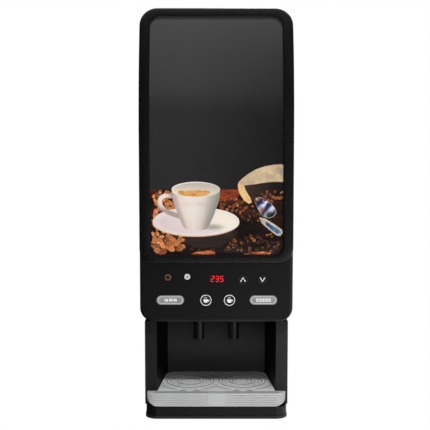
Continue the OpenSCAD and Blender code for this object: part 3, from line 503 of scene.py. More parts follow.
# A column down the hinge side is joined on, and a slot is cut for each fixed bracket.
hinge_x, hinge_y, column_r, slot_r = -128.0, -154.0, 11.9, 20.0
tools = [
    ("UNION", rod(hinge_x, hinge_y, 194, 723, column_r)),
    ("DIFFERENCE", rod(hinge_x, hinge_y, 217, 223, slot_r)),
    ("DIFFERENCE", rod(hinge_x, hinge_y, 694, 700, slot_r))]
for operation, tool in tools:
    cut_step = door_skin.modifiers.new("hinge_cut", "BOOLEAN")
    cut_step.operation, cut_step.solver, cut_step.object = operation, "EXACT", tool
bpy.context.view_layer.update()
shell = bpy.data.meshes.new_from_object(door_skin.evaluated_get(bpy.context.evaluated_depsgraph_get()))
door_skin.modifiers.clear()
door_skin.data = shell
for _, tool in tools:
    bpy.data.objects.remove(tool)
shell.set_sharp_from_angle(angle=math.radians(38))
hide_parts("door_shell")
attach(door_skin, "door")
dress(moulded("cover_black", (0.016, 0.016, 0.017), rough=0.46), "door_inner_cover")

# ---- window bezel ----------------------------------------------------------
# A separate glossy frame bonded round the window, a soft pillow in section, that throws a
# small shadow on the control panel beneath it.

bezel_shape = (door_w, 293.0, door_z1, 32.0, 26.0)
section = (
    (0.0, 0.2), (0.0, 6.2), (0.02, 7.2), (0.07, 7.8), (0.16, 8.0), (0.45, 8.0), (0.68, 7.7), (0.80, 7.0),
    (0.89, 5.8), (0.95, 4.3), (0.985, 2.6), (1.0, 0.9), (1.0, 0.2))
inner, outer = outline(*window), outline(*bezel_shape)
rings = []
for t, out in section:
    flat = [(a[0] + (b[0] - a[0]) * t, a[1] + (b[1] - a[1]) * t) for a, b in zip(inner, outer)]
    rings.append([(x, face_at(z, out), z) for x, z in flat])
# Its lowest few millimetres are painted lighter: a painted highlight along the bottom lip.
bezel_gloss = surface(
    "bezel_gloss",
    lambda p: ((1 - p.axes()[2].step(0.2945, 0.2975)) * 0.8 + p.noise(6, 4) * 0.2).tint(
        (0.0022, 0.0022, 0.0024), (0.0150, 0.0150, 0.0155)),
    rough=lambda p: p.noise(18, 4) * 0.10 + 0.22,
    height=lambda p: p.noise(160, 2), depth=0.00001, Specular_IOR_Level=0.30)
bezel = loft("window_bezel", rings, bezel_gloss, tube=True)
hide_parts("door_bezel")
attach(bezel, "door")

# ---- lit picture -----------------------------------------------------------
# A printed sheet with a lamp board behind it: a dark studio backdrop over a table with a
# white cup on its saucer. The ink lies in thin layers, drawn here one over the other.


def half_at(z, w, z0, z1, top_r, foot_r):
    """Half the width of a rounded upright shape at height z."""
    if z < z0 + foot_r:
        return w / 2 - foot_r + math.sqrt(max(foot_r**2 - (z0 + foot_r - z) ** 2, 0))
    if z > z1 - top_r:
        return w / 2 - top_r + math.sqrt(max(top_r**2 - (z - z1 + top_r) ** 2, 0))
    return w / 2


def panel(name, shape, out_back, out_front, finish, columns=8):
    """A thin sheet with a rounded outline, bent to the door's curve."""
    w, z0, z1, top_r, foot_r = shape
    arc = [1 - math.cos(math.radians(90 * i / 8)) for i in range(9)]
    heights = [z0 + foot_r * a for a in arc]
    heights += [z0 + foot_r + (z1 - top_r - z0 - foot_r) * i / 40 for i in range(1, 40)]
    heights += [z1 - top_r * a for a in reversed(arc)]
    rows = []
    for z in heights:
        h = half_at(z, *shape)
        front = [(-h + 2 * h * i / columns, face_at(z, out_front), z) for i in range(columns + 1)]
        rows.append(front + [(x, face_at(z, out_back), z) for x, _, z in reversed(front)])
    return loft(name, rows, finish)


def ink(name, colour, glow_strength=0.5, rough=0.55, height=None):
    """Printed ink with a little of the lamps behind it coming through, and its fine dot screen."""
    return surface(
        name, colour,
        rough=lambda p: p.noise(90, 3) * 0.1 + rough,
        height=height or (lambda p: p.noise(1500, 1)), depth=0.00002,
        glow=colour, glow_strength=glow_strength)


def cut(name, points, out_back, out_front, finish, body="door"):
    """A thin flat shape laid on the door's face, given by its outline as seen from the front."""
    rows = [[(x, face - out_back, z) for x, z in points], [(x, face - out_front, z) for x, z in points]]
    shape = loft(name, rows, finish)
    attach(shape, body)


def oval(cx, cz, rx, rz, n=40):
    """Points on an ellipse."""
    turns = [math.radians(360 * i / n) for i in range(n)]
    return [(cx + rx * math.cos(a), cz + rz * math.sin(a)) for a in turns]


def stroke(points, width):
    """The two sides of a line of some width, as one outline."""
    left, right = [], []
    for i, (x, z) in enumerate(points):
        x0, z0 = points[max(i - 1, 0)]
        x1, z1 = points[min(i + 1, len(points) - 1)]
        d = math.hypot(x1 - x0, z1 - z0) or 1
        wide = width[i] if isinstance(width, list) else width
        nx, nz = (z1 - z0) / d * wide / 2, -(x1 - x0) / d * wide / 2
        left.append((x + nx, z + nz))
        right.append((x - nx, z - nz))
    return left + right[::-1]


def hoop(name, outer_line, inner_line, out_back, out_front, finish, body="door"):
    """A thin flat band between two outlines with equal counts of points."""
    rows = [
        [(x, face - o, z) for x, z in line]
        for line, o in (
            (outer_line, out_back), (outer_line, out_front), (inner_line, out_front), (inner_line, out_back))]
    shape = loft(name, rows, finish, tube=True)
    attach(shape, body)


def backdrop_colour(p):
    """A studio backdrop, lit from the upper left."""
    x, _, z = p.axes()
    up = (z - 0.30) / 0.44
    lit = (up + (p.noise(3, 2) - 0.5) * 0.06).ramp(
        (0.0, rgb(38, 38, 39)), (0.30, rgb(44, 44, 45)), (0.55, rgb(49, 49, 50)), (1.0, rgb(50, 50, 51)))
    return (((x + 0.05) * 6).clip() * (0.62 - up.step(0.45, 1.1) * 0.50)).tint(lit, rgb(3, 3, 3))


backdrop_ink = ink("backdrop_ink", backdrop_colour, height=lambda p: p.noise(6, 1), rough=0.75)
sheet = panel("picture_sheet", window, 0.02, 0.30, backdrop_ink)
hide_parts("graphic_panel")
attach(sheet, "door")

w, z0, _, _, foot_r = window
table_top = 427.0
foot_line = [(x, z) for x, z in outline(*window, 0.1) if z < z0 + foot_r + 0.5]
right_foot = sorted([q for q in foot_line if q[0] >= 0], key=lambda q: (q[1], q[0]))
left_foot = sorted([q for q in foot_line if q[0] < 0], key=lambda q: (-q[1], q[0]))
table_shape = left_foot + right_foot + [
    (w / 2 - 0.1, table_top - 2), (w / 4, table_top + 0.5), (0, table_top), (-w / 4, table_top),
    (-w / 2 + 0.1, table_top)]
table_ink = ink("table_ink", lambda p: (
    p.stretch(1, 1, 3).noise(30, 5).step(0.40, 0.72) * (p.axes()[2].step(0.36, 0.42) * 0.7 + 0.15)).tint(
        rgb(14, 9, 8), rgb(96, 44, 26)))
cut("picture_table", table_shape, 0.28, 0.34, table_ink)
patch_ink = ink("table_patch_ink", lambda p: (p.stretch(1, 1, 5).noise(70, 5, 0.6)).ramp(
    (0.30, rgb(52, 20, 12)), (0.45, rgb(126, 50, 26)), (0.70, rgb(176, 82, 44))))
cut("picture_table_patch", [(3, 405), (22, 407), (36, 409), (44, 420), (45, 427), (8, 427)], 0.34, 0.38,
    patch_ink)

# ---- coffee beans in the picture -------------------------------------------
# Roasted beans strewn over the printed table, laid out by a rule with one fixed seed: each
# is a small raised dome with a crease, turned and sized at random.

bean_half_w, bean_half_l, bean_rise = 3.4, 5.0, 0.55
bean_points, bean_faces, crease = [], [], []
across = (-1.0, -0.72, -0.36, -0.10, 0.0, 0.10, 0.36, 0.72, 1.0)
along = (-1.0, -0.8, -0.4, 0.0, 0.4, 0.8, 1.0)
for v in along:
    half = math.sqrt(max(1 - v * v, 0.02))
    for u in across:
        rise = math.sqrt(max(1 - (u * u + v * v * (1 - u * u)), 0)) * (0.45 if abs(u) < 0.05 else 1.0)
        bean_points.append((u * half * bean_half_w, -0.02 - bean_rise * rise, v * bean_half_l))
        crease.append(1.0 if abs(u) < 0.05 else 0.0)
row, rows = len(across), len(along)
for j in range(rows - 1):
    a, b = j * row, (j + 1) * row
    bean_faces += [(a + i, a + i + 1, b + i + 1, b + i) for i in range(row - 1)]
last = (rows - 1) * row
edge = list(range(row)) + [j * row + row - 1 for j in range(1, rows)]
edge += [last + i for i in range(row - 2, -1, -1)] + [j * row for j in range(rows - 2, 0, -1)]
bean_faces.append(tuple(reversed(edge)))


def bean_ink(name, dark, light, shine):
    """Each bean's own tone, a dark crease and a lit crown."""
    def colour(p):
        tone = p.node("ShaderNodeAttribute", {"attribute_name": "tone"}, out=2)
        groove = p.node("ShaderNodeAttribute", {"attribute_name": "crease"}, out=2)
        lit = (tone * 0.75 + p.noise(420, 3) * 0.5 - 0.12).clip().tint(dark, light)
        crown = (p.noise(330, 2).step(0.60, 0.72) * (1 - groove)).tint(lit, shine)
        return (groove * 0.85).tint(crown, rgb(22, 10, 7))
    return ink(name, colour, glow_strength=0.55, rough=0.30)


def strew(name, area, spacing, seed, finish, out, size=1.0):
    """Beans over one area of the picture, as one mesh."""
    bean = piece("one_bean", bean_points, bean_faces, finish)
    mark = bean.data.attributes.new("crease", "FLOAT", "POINT")
    mark.data.foreach_set("value", crease)
    ground = piece(
        name, [(x, face - out, z) for x, z in area], [tuple(range(len(area)))], finish, smooth=False)
    tree = bpy.data.node_groups.new(name + "_rule", "GeometryNodeTree")
    sock = tree.interface.new_socket
    sock("Geometry", in_out="INPUT", socket_type="NodeSocketGeometry")
    spacing_in = sock("Spacing", in_out="INPUT", socket_type="NodeSocketFloat").identifier
    seed_in = sock("Seed", in_out="INPUT", socket_type="NodeSocketInt").identifier
    size_in = sock("Size", in_out="INPUT", socket_type="NodeSocketFloat").identifier
    sock("Geometry", in_out="OUTPUT", socket_type="NodeSocketGeometry")
    add, link = tree.nodes.new, tree.links.new
    start, end = add("NodeGroupInput"), add("NodeGroupOutput")
    scatter = add("GeometryNodeDistributePointsOnFaces")
    scatter.distribute_method = "POISSON"
    scatter.inputs["Density Max"].default_value = 60000
    link(start.outputs["Geometry"], scatter.inputs["Mesh"])
    link(start.outputs["Spacing"], scatter.inputs["Distance Min"])
    link(start.outputs["Seed"], scatter.inputs["Seed"])
    source = add("GeometryNodeObjectInfo")
    source.inputs["Object"].default_value = bean
    turn, turn_xyz = add("FunctionNodeRandomValue"), add("ShaderNodeCombineXYZ")
    turn.inputs[3].default_value = 2 * math.pi
    link(start.outputs["Seed"], turn.inputs["Seed"])
    link(turn.outputs[1], turn_xyz.inputs["Y"])
    grow, times = add("FunctionNodeRandomValue"), add("ShaderNodeMath")
    grow.inputs[2].default_value, grow.inputs[3].default_value = 0.75, 1.15
    times.operation = "MULTIPLY"
    link(grow.outputs[1], times.inputs[0])
    link(start.outputs["Size"], times.inputs[1])
    put = add("GeometryNodeInstanceOnPoints")
    link(scatter.outputs["Points"], put.inputs["Points"])
    link(source.outputs["Geometry"], put.inputs["Instance"])
    link(turn_xyz.outputs[0], put.inputs["Rotation"])
    link(times.outputs[0], put.inputs["Scale"])
    tone, store = add("FunctionNodeRandomValue"), add("GeometryNodeStoreNamedAttribute")
    tone.inputs["Seed"].default_value = 7
    store.data_type, store.domain = "FLOAT", "INSTANCE"
    store.inputs["Name"].default_value = "tone"
    link(put.outputs[0], store.inputs["Geometry"])
    link(tone.outputs[1], store.inputs["Value"])
    whole, paint = add("GeometryNodeRealizeInstances"), add("GeometryNodeSetMaterial")
    paint.inputs["Material"].default_value = finish
    link(store.outputs[0], whole.inputs[0])
    link(whole.outputs[0], paint.inputs["Geometry"])
    link(paint.outputs[0], end.inputs["Geometry"])
    rule = ground.modifiers.new("strew", "NODES")
    rule.node_group = tree
    rule[spacing_in], rule[seed_in], rule[size_in] = spacing, seed, size
    bpy.context.view_layer.update()
    evaluated = ground.evaluated_get(bpy.context.evaluated_depsgraph_get())
    mesh = bpy.data.meshes.new_from_object(evaluated)
    ground.modifiers.clear()
    ground.data = mesh
    bpy.data.objects.remove(bean)
    for f in mesh.polygons:
        f.use_smooth = True
    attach(ground, "door")


warm_beans = bean_ink("warm_bean_ink", rgb(96, 42, 20), rgb(236, 150, 90), rgb(255, 222, 178))
brown_beans = bean_ink("brown_bean_ink", rgb(62, 28, 16), rgb(166, 92, 52), rgb(246, 196, 150))
dark_beans = bean_ink("dark_bean_ink", rgb(16, 9, 7), rgb(84, 42, 24), rgb(240, 160, 104))
plank_ink = ink(
    "picture_plank_ink",
    lambda p: p.stretch(1, 1, 3).noise(120, 4).ramp(
        (0.30, rgb(120, 48, 22)), (0.5, rgb(206, 104, 56)), (0.7, rgb(244, 178, 128))))
cut("picture_plank_left", [(-46, 309.6), (-3, 309.6), (-2, 314), (-12, 316.5), (-28, 315), (-40, 312.5)],
    0.34, 0.38, plank_ink)
cut("picture_plank_right", [(50, 309.6), (98, 309.6), (100, 312.5), (86, 314.5), (66, 312.5)], 0.34, 0.38,
    plank_ink)
strew("beans_left", [(-116, 322), (-58, 322), (-62, 423), (-116, 423)], 0.0047, 3, warm_beans, 0.36)
strew(
    "beans_front_left", [(-107, 314), (-62, 314), (-66, 331), (-114, 335)], 0.0085, 29, warm_beans, 0.80,
    size=1.5)
strew(
    "beans_front_middle", [(-52, 316), (-46, 314), (-4, 317), (2, 319), (-44, 320)], 0.0100, 13, dark_beans,
    0.40, size=0.8)
strew(
    "beans_front_right", [(12, 314), (106, 314), (114, 326), (112, 344), (60, 344), (30, 336)], 0.0072, 11,
    dark_beans, 0.36)
strew(
    "beans_heap", [(4, 394), (10, 409), (30, 412), (48, 404), (60, 394), (46, 384)], 0.0052, 5, brown_beans,
    0.40, size=0.85)
strew(
    "beans_behind_scoop", [(42, 372), (72, 366), (84, 380), (66, 398), (44, 396)], 0.0062, 8, dark_beans,
    0.36, size=0.95)

# ---- cup, saucer, sack and scoop in the picture ----------------------------
# The same print: white china with a foamed coffee, a burlap sack that spills beans and a
# small steel scoop. Each shape is one layer of ink with its own shading.


def near(p, cx, cz, rx, rz, soft=0.6):
    """1 well inside an ellipse on the door's face, fading to 0 at its edge."""
    x, _, z = p.axes()
    u, v = (x - cx / 1000) / (rx / 1000), (z - cz / 1000) / (rz / 1000)
    return 1 - (u * u + v * v).root().step(1 - soft, 1.0)


cup_x, cup_z = -37.0, 427.0
rim_rx, rim_rz = 44.0, 14.2
under_ink = ink(
    "under_saucer_ink", lambda p: p.stretch(1, 1, 3).noise(40, 3).tint(rgb(30, 24, 22), rgb(58, 46, 40)))
cut("picture_saucer_shade",
    [(-112, 338), (-100, 352), (-60, 360), (20, 360), (40, 350), (28, 336), (6, 322), (-40, 321), (-66, 333)],
    0.50, 0.55, under_ink)
saucer_edge = ink(
    "saucer_edge_ink", lambda p: (p.axes()[0] * 9 + 0.85).clip().tint(rgb(236, 196, 150), rgb(214, 176, 142)))
cut("picture_saucer_edge", oval(cup_x, 367.6, 79, 26.6), 0.95, 1.00, saucer_edge)


def saucer_colour(p):
    x, _, z = p.axes()
    china = ((x - cup_x / 1000) * 5 + (z - 0.369) * 9 + 0.5 + (p.noise(40, 2) - 0.5) * 0.2).ramp(
        (0.0, rgb(212, 196, 196)), (0.45, rgb(226, 212, 212)), (0.75, rgb(238, 230, 216)),
        (1.0, rgb(226, 218, 208)))
    shaded = (near(p, -6, 359, 30, 9, 0.9) * 0.75).tint(china, rgb(142, 146, 132))
    rolled = near(p, cup_x, 368.4, 72, 22, 0.10)
    return ((1 - rolled) * 0.25).tint(shaded, rgb(250, 246, 240))


cut("picture_saucer", oval(cup_x, 369.0, 78.6, 26.2, 64), 1.00, 1.05, ink("saucer_ink", saucer_colour))

side = [
    (cup_x - 43.6, cup_z - 2), (cup_x - 42.8, 414), (cup_x - 40.4, 402), (cup_x - 37.2, 394.6),
    (cup_x - 33.4, 383), (cup_x - 28, 370), (cup_x - 23.4, 361), (cup_x - 20.4, 357)]
base_arc = [
    (cup_x + 20 * math.cos(math.radians(a)), 357.0 + 4.2 * math.sin(math.radians(a)))
    for a in range(190, 351, 16)]
cup_shape = side + base_arc + [(2 * cup_x - x, z) for x, z in reversed(side)]


def cup_colour(p):
    x, _, z = p.axes()
    across = (x - cup_x / 1000) / ((z - 0.357) * 0.36 + 0.020)
    china = (across * 0.5 + 0.5 + (p.noise(30, 2) - 0.5) * 0.06).ramp(
        (0.0, rgb(186, 172, 164)), (0.12, rgb(226, 212, 204)), (0.42, rgb(238, 228, 220)),
        (0.72, rgb(214, 206, 196)), (0.90, rgb(170, 166, 154)), (1.0, rgb(150, 148, 140)))
    lower = (1 - (z - 0.357).step(0.0, 0.038)) * 0.22
    band = (near(p, cup_x, 400, 46, 7, 0.8)) * 0.20
    return (lower + band).clip().tint(china, rgb(176, 160, 152))


cup_ink = ink("cup_ink", cup_colour)
handle_ink = ink(
    "cup_handle_ink", lambda p: near(p, -95, 408, 17, 20, 0.7).tint(rgb(172, 158, 152), rgb(242, 232, 226)))
handle_line = [
    (-76, 412.5), (-85, 416.2), (-93.5, 416.2), (-100.2, 412.4), (-103.4, 405.6), (-101.4, 398),
    (-95.6, 391.4), (-87, 385.6), (-74, 380.6), (-64, 377.6)]
cut("picture_cup_handle", stroke(handle_line, [6, 6.6, 7.4, 8, 8.4, 8.4, 8.2, 8, 8.6, 9]), 1.10, 1.16,
    handle_ink)
cut("picture_cup", cup_shape, 1.16, 1.20, cup_ink)
rim_line = ink(
    "cup_rim_ink",
    lambda p: ((p.axes()[0] - cup_x / 1000) * 11 + 0.5).clip().tint(rgb(252, 246, 238), rgb(206, 200, 190)))
cut("picture_cup_rim", oval(cup_x, cup_z, rim_rx, rim_rz, 64), 1.20, 1.24, rim_line)
wall_ink = ink(
    "cup_wall_ink",
    lambda p: ((p.axes()[2] - 0.419) * 60 + (p.axes()[0] + 0.037) * 4).clip().tint(
        rgb(226, 214, 200), rgb(196, 188, 178)))
cut("picture_cup_inside", oval(cup_x, cup_z - 0.4, rim_rx - 2.4, rim_rz - 1.8, 64), 1.24, 1.27, wall_ink)


def coffee_colour(p):
    foam = p.stretch(1, 1, 2.2).noise(85, 4, 0.6)
    body = foam.ramp((0.30, rgb(176, 116, 52)), (0.50, rgb(218, 160, 86)), (0.70, rgb(234, 192, 128)))
    return ((p.axes()[2] - 0.4235) * 260 + (foam - 0.5) * 3).clip().tint(body, rgb(226, 214, 200))


cut("picture_coffee", oval(cup_x - 3.6, 421.4, 29.5, 7.2, 48), 1.27, 1.30, ink("coffee_ink", coffee_colour))

hollow_ink = ink(
    "sack_hollow_ink",
    lambda p: (p.noise(60, 4) * 0.5 + (0.09 - p.axes()[0]) * 12).clip().tint(
        rgb(24, 19, 18), rgb(76, 57, 46)))
cut("picture_sack_hollow",
    [(46, 438), (53, 424), (61, 412), (70, 404), (120.2, 404), (120.2, 442), (84, 441)], 0.90, 0.94,
    hollow_ink)


def canvas_colour(p):
    x, _, z = p.axes()
    weave = ((x * 2400).wave() + (z * 2400).wave()) * 0.03
    lit = (p.stretch(1.0, 1, 1.6).noise(34, 4, 0.6) * 0.7 + weave + 0.18).ramp(
        (0.25, rgb(146, 122, 96)), (0.45, rgb(196, 172, 140)), (0.65, rgb(224, 204, 172)),
        (0.85, rgb(240, 226, 200)))
    folds = (p.stretch(1.6, 1, 0.5).noise(46, 3).step(0.50, 0.66) * (x - 0.085).step(0.0, 0.03)).clip()
    shade = (folds * 0.75).tint(lit, rgb(92, 84, 84))
    return (near(p, 119, 458, 8, 10, 0.7) * 0.6).tint(shade, rgb(112, 126, 142))


sack_shape = [
    (38.6, 434.6), (38.8, 437), (41.1, 441.3), (47.8, 448), (58.3, 456), (72.5, 464), (87.8, 469.2),
    (103, 471.8), (116, 472.6), (120.2, 472.2), (120.2, 440.6), (110.6, 441), (97.3, 440.6), (82, 438.6),
    (66.8, 436.2), (53.5, 434.8), (47.8, 434.2)]
cut("picture_sack", sack_shape, 0.96, 1.00, ink("canvas_ink", canvas_colour))
hem_ink = ink(
    "sack_hem_ink",
    lambda p: (p.noise(150, 4) * 0.8 + (0.437 - p.axes()[2]) * 10).ramp(
        (0.3, rgb(206, 172, 128)), (0.6, rgb(240, 206, 150)), (0.9, rgb(226, 150, 84))))
cut("picture_sack_hem",
    [(38.6, 436), (40.0, 425), (44.4, 415.6), (51.0, 406.4), (58.6, 401.2), (64.6, 403.8), (62, 411),
     (57, 419), (52, 428), (49.6, 436.4)], 1.00, 1.04, hem_ink)
strew(
    "beans_sack", [(66, 406), (86, 404), (118, 404), (118, 424), (96, 426), (80, 418)], 0.0062, 23,
    brown_beans, 0.94, size=0.80)


def steel_colour(p):
    x, _, z = p.axes()
    bands = ((x * 0.75 - z * 0.65) * 360 + p.noise(90, 3) * 6).wave() * 0.5 + 0.5
    steel = bands.ramp(
        (0.0, rgb(24, 28, 50)), (0.40, rgb(66, 78, 124)), (0.72, rgb(150, 162, 200)),
        (1.0, rgb(234, 234, 240)))
    warm = (near(p, 82, 391, 8, 8, 0.8) * 0.8).tint(steel, rgb(150, 84, 50))
    return (near(p, 97, 381, 15, 12, 0.8) * 0.9).tint(warm, rgb(20, 16, 20))


def grown(points, times):
    """The same outline, made larger about its middle."""
    cx, cz = (sum(q[i] for q in points) / len(points) for i in (0, 1))
    return [(cx + (x - cx) * times, cz + (z - cz) * times) for x, z in points]


bowl = [
    (71.6, 410.8), (80.2, 412.1), (89.7, 407.6), (99.2, 400.8), (105.9, 392.7), (107.8, 385.1), (103, 378.4),
    (95.4, 375.9), (85.9, 378.4), (80.2, 385.1), (75.4, 392.7), (72.0, 401)]
lip_ink = ink("scoop_lip_ink", lambda p: p.noise(140, 3).tint(rgb(150, 140, 132), rgb(238, 226, 206)))
cut("picture_scoop_lip", grown(bowl, 1.05), 1.09, 1.12, lip_ink)
cut("picture_scoop_bowl", bowl, 1.12, 1.16, ink("scoop_ink", steel_colour))
cut("picture_scoop_grip_edge",
    [(77.3, 376.5), (88.7, 374.6), (104, 365), (119.2, 354), (120.2, 348.6), (116.3, 342.6), (109.7, 343.4),
     (96, 354), (82.1, 366)], 1.06, 1.10, lip_ink)
grip_ink = ink(
    "scoop_grip_ink",
    lambda p: (p.noise(90, 3) * 1.2 + (p.axes()[0] - 0.10) * 12).ramp(
        (0.3, rgb(26, 58, 94)), (0.7, rgb(60, 106, 148)), (0.95, rgb(138, 158, 172))))
cut("picture_scoop_grip",
    [(89.7, 369.4), (103, 360.6), (115.4, 352.2), (117.3, 348.2), (110.6, 346.2), (99, 355), (88.7, 364.3)],
    1.10, 1.14, grip_ink)

# ---- window pane -----------------------------------------------------------
# Clear acrylic, about three millimetres thick, dropped into the bezel and following the
# door's curve. It is polished, with the faintest ripple.

pane_clear = bpy.data.materials.new("pane_clear")
pane_clear.use_nodes = True
pane_clear.node_tree.nodes.clear()
p = Wire(pane_clear.node_tree).node("ShaderNodeTexCoord", out=3)
ripple = p.node("ShaderNodeBump", None, {"Strength": 1.0, "Distance": 0.00002, "Height": p.noise(14, 2)})
gleam = p.node(
    "ShaderNodeBsdfGlossy", None,
    {"Color": (1.0, 1.0, 1.0), "Roughness": p.noise(30, 3) * 0.03 + 0.05, "Normal": ripple})
share = p.node("ShaderNodeFresnel", None, {"IOR": 1.40})
mixed = p.node("ShaderNodeMixShader", None, {0: share, 1: p.node("ShaderNodeBsdfTransparent"), 2: gleam})
p.node("ShaderNodeOutputMaterial", None, {"Surface": mixed})
pane = panel("window_pane_clear", (240.4, 309.3, 740.7, 19.7, 15.7), 1.6, 4.5, pane_clear)
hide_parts("window_pane")
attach(pane, "door")

# ---- control panel ---------------------------------------------------------
# A satin polyester overlay over the door's flat foot. Small keys stand through it, each
# with a printed sign, beside a lamp and a three-figure display.

overlay_film = surface(
    "overlay_film",
    lambda p: p.noise(8, 4).tint((0.0010, 0.0010, 0.0011), (0.0022, 0.0022, 0.0024)),
    rough=lambda p: p.noise(40, 4) * 0.10 + 0.30,
    height=lambda p: p.noise(1800, 1), depth=0.00001)
dress(overlay_film, "control_overlay")
key_rubber = moulded("key_cap", (0.0045, 0.0045, 0.005), rough=0.34, grain=1600, depth=0.00002)
dress(key_rubber, "standby_key", "up_key", "down_key", "left_cup_button", "right_cup_button")
# The print carries a faint painted glow that brightens it.
white_print = surface(
    "white_print",
    lambda p: p.noise(400, 3).tint(rgb(176, 176, 177), rgb(196, 196, 197)),
    rough=lambda p: p.noise(300, 2) * 0.1 + 0.45, height=lambda p: p.noise(1200, 2), depth=0.00002,
    glow=lambda p: p.noise(400, 3).tint(rgb(150, 150, 150), rgb(170, 170, 170)), glow_strength=0.05)
row_high, row_low = 263.0, 225.0
cap_front = 2.8
sunk = 0.05


def sign(name, line, thick, body):
    """A printed line on a key's cap."""
    cut(name, stroke(line, thick), cap_front - sunk, cap_front + 0.18, white_print, body=body)


for body, x, rise in (("up_key", 48.5, 1), ("down_key", 84.0, -1)):
    sign(
        body + "_chevron",
        [(x - 4.4, row_high - 3.6 * rise), (x, row_high + 3.6 * rise), (x + 4.4, row_high - 3.6 * rise)], 1.8,
        body)
bronze = surface(
    "standby_bronze",
    lambda p: p.noise(500, 3).tint(rgb(92, 66, 50), rgb(122, 92, 70)),
    rough=lambda p: p.noise(300, 2) * 0.15 + 0.35, metal=0.4, height=lambda p: p.noise(900, 2), depth=0.00003)
hoop(
    "standby_ring", oval(-88, 267, 5.6, 5.6), oval(-88, 267, 3.6, 3.6), cap_front - sunk, cap_front + 0.3,
    bronze, body="standby_key")
for body, x in (("left_cup_button", -19.0), ("right_cup_button", 24.0)):
    z = row_low
    hoop(
        body + "_ring", oval(x, z, 10.1, 10.1), oval(x, z, 8.9, 8.9), cap_front - sunk, cap_front + 0.25,
        white_print, body=body)
    cup_line = [
        (x - 4.8, z + 1.6), (x - 4.5, z - 1.4), (x - 3.4, z - 3.6), (x - 1.8, z - 4.6), (x + 1.6, z - 4.6),
        (x + 3.0, z - 3.6), (x + 3.9, z - 1.4), (x + 4.1, z + 1.6)]
    cut(body + "_cup", cup_line, cap_front - sunk, cap_front + 0.2, white_print, body=body)
    sign(
        body + "_ear", [(x + 4.0, z + 0.8), (x + 6.0, z + 0.6), (x + 6.2, z - 1.2), (x + 3.6, z - 2.6)], 0.9,
        body)
    for letter, s in (("a", -2.2), ("b", 0.4)):
        sign(
            f"{body}_steam_{letter}",
            [(x + s, z + 2.8), (x + s + 0.9, z + 3.9), (x + s, z + 5.0), (x + s + 0.8, z + 6.1)], 0.8, body)

# ---- selection labels ------------------------------------------------------
# Two grey enamelled lozenges with a white inner line name the drinks. The real words are
# left off, and a plain picture sign stands in their place.

label_grey = surface(
    "label_grey",
    lambda p: p.noise(60, 4).tint(rgb(112, 113, 115), rgb(134, 135, 137)),
    rough=lambda p: p.noise(200, 3) * 0.15 + 0.34, metal=0.25, height=lambda p: p.noise(900, 2),
    depth=0.00002)
dress(label_grey, "selection_labels")
label_front = -1000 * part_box("selection_labels")[0].y + face


def pill(cx, cz, rx, rz, n=12):
    """A lozenge with half-round ends."""
    turns = [math.radians(-90 + 180 * i / n) for i in range(n + 1)]
    right = [(cx + rx - rz + rz * math.cos(a), cz + rz * math.sin(a)) for a in turns]
    return right + [(2 * cx - x, 2 * cz - z) for x, z in right]


for side_name, x in (("left", -84.0), ("right", 86.0)):
    hoop(
        f"{side_name}_label_line", pill(x, row_low, 22.6, 6.6), pill(x, row_low, 21.9, 5.9),
        label_front - sunk, label_front + 0.12, white_print)
for i in range(3):
    for letter, dx, dz in (("a", -0.9, 0.2), ("b", 2.3, -0.2)):
        half_bean = oval(-92 + 8 * i + dx, row_low + dz, 1.5, 2.9, 20)
        cut(f"left_label_bean_{i}{letter}", half_bean, label_front - sunk, label_front + 0.12, white_print)
square_w, square_h = 4.4, 2.6
for i in range(5):
    for j in range(2):
        x, z = 74.8 + 5.6 * i, row_low + 1.7 - 3.4 * j
        square = [
            (x + u * square_w / 2, z + v * square_h / 2) for u, v in ((-1, -1), (1, -1), (1, 1), (-1, 1))]
        cut(f"right_label_square_{i}{j}", square, label_front - sunk, label_front + 0.12, white_print)

# ---- display and lamp ------------------------------------------------------
# A red light-emitting display behind a dark smoked lens shows the water's temperature in
# three figures. The lamp beside it is a small white lens with a grey core.

smoked = surface(
    "smoked_lens",
    lambda p: p.noise(50, 3).tint((0.0050, 0.0022, 0.0022), (0.0085, 0.0035, 0.0032)),
    rough=lambda p: p.noise(90, 2) * 0.06 + 0.12, height=lambda p: p.noise(300, 1), depth=0.00001)
dress(smoked, "digit_display")
lit_red = surface(
    "lit_red", lambda p: p.noise(900, 2).tint(rgb(150, 10, 14), rgb(190, 16, 20)),
    rough=lambda p: p.noise(500, 2) * 0.1 + 0.4,
    glow=lambda p: p.noise(900, 2).tint(rgb(214, 8, 12), rgb(236, 16, 20)), glow_strength=0.9)
display_front = -1000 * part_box("digit_display")[0].y + face
figure_x, figure_z, figure_pitch, figure_half_w, figure_half_h, slant = 1.5, 264, 8.3, 2.5, 4.9, 0.5
bar_gap, bar_point, bar_half = 0.30, 0.5, 0.65
segments = {
    "a": ((-1, 1), (1, 1)), "b": ((1, 1), (1, 0)), "c": ((1, 0), (1, -1)), "d": ((-1, -1), (1, -1)),
    "e": ((-1, 0), (-1, -1)), "f": ((-1, 1), (-1, 0)), "g": ((-1, 0), (1, 0))}
for place, lit in enumerate(("abdeg", "abcdg", "acdfg")):
    left = figure_x - figure_pitch + figure_pitch * place
    for s in lit:
        ends = [(left + u * figure_half_w + v * slant, figure_z + v * figure_half_h) for u, v in segments[s]]
        (xa, za), (xb, zb) = ends
        d = math.hypot(xb - xa, zb - za)
        ux, uz = (xb - xa) / d, (zb - za) / d
        a, b = bar_gap, d - bar_gap
        half_bar = ((a, 0), (a + bar_point, bar_half), (b - bar_point, bar_half))
        other_half = ((b, 0), (b - bar_point, -bar_half), (a + bar_point, -bar_half))
        bar = [(xa + ux * t - uz * o, za + uz * t + ux * o) for t, o in half_bar + other_half]
        cut(f"figure_{place}_{s}", bar, display_front - sunk, display_front + 0.1, lit_red)
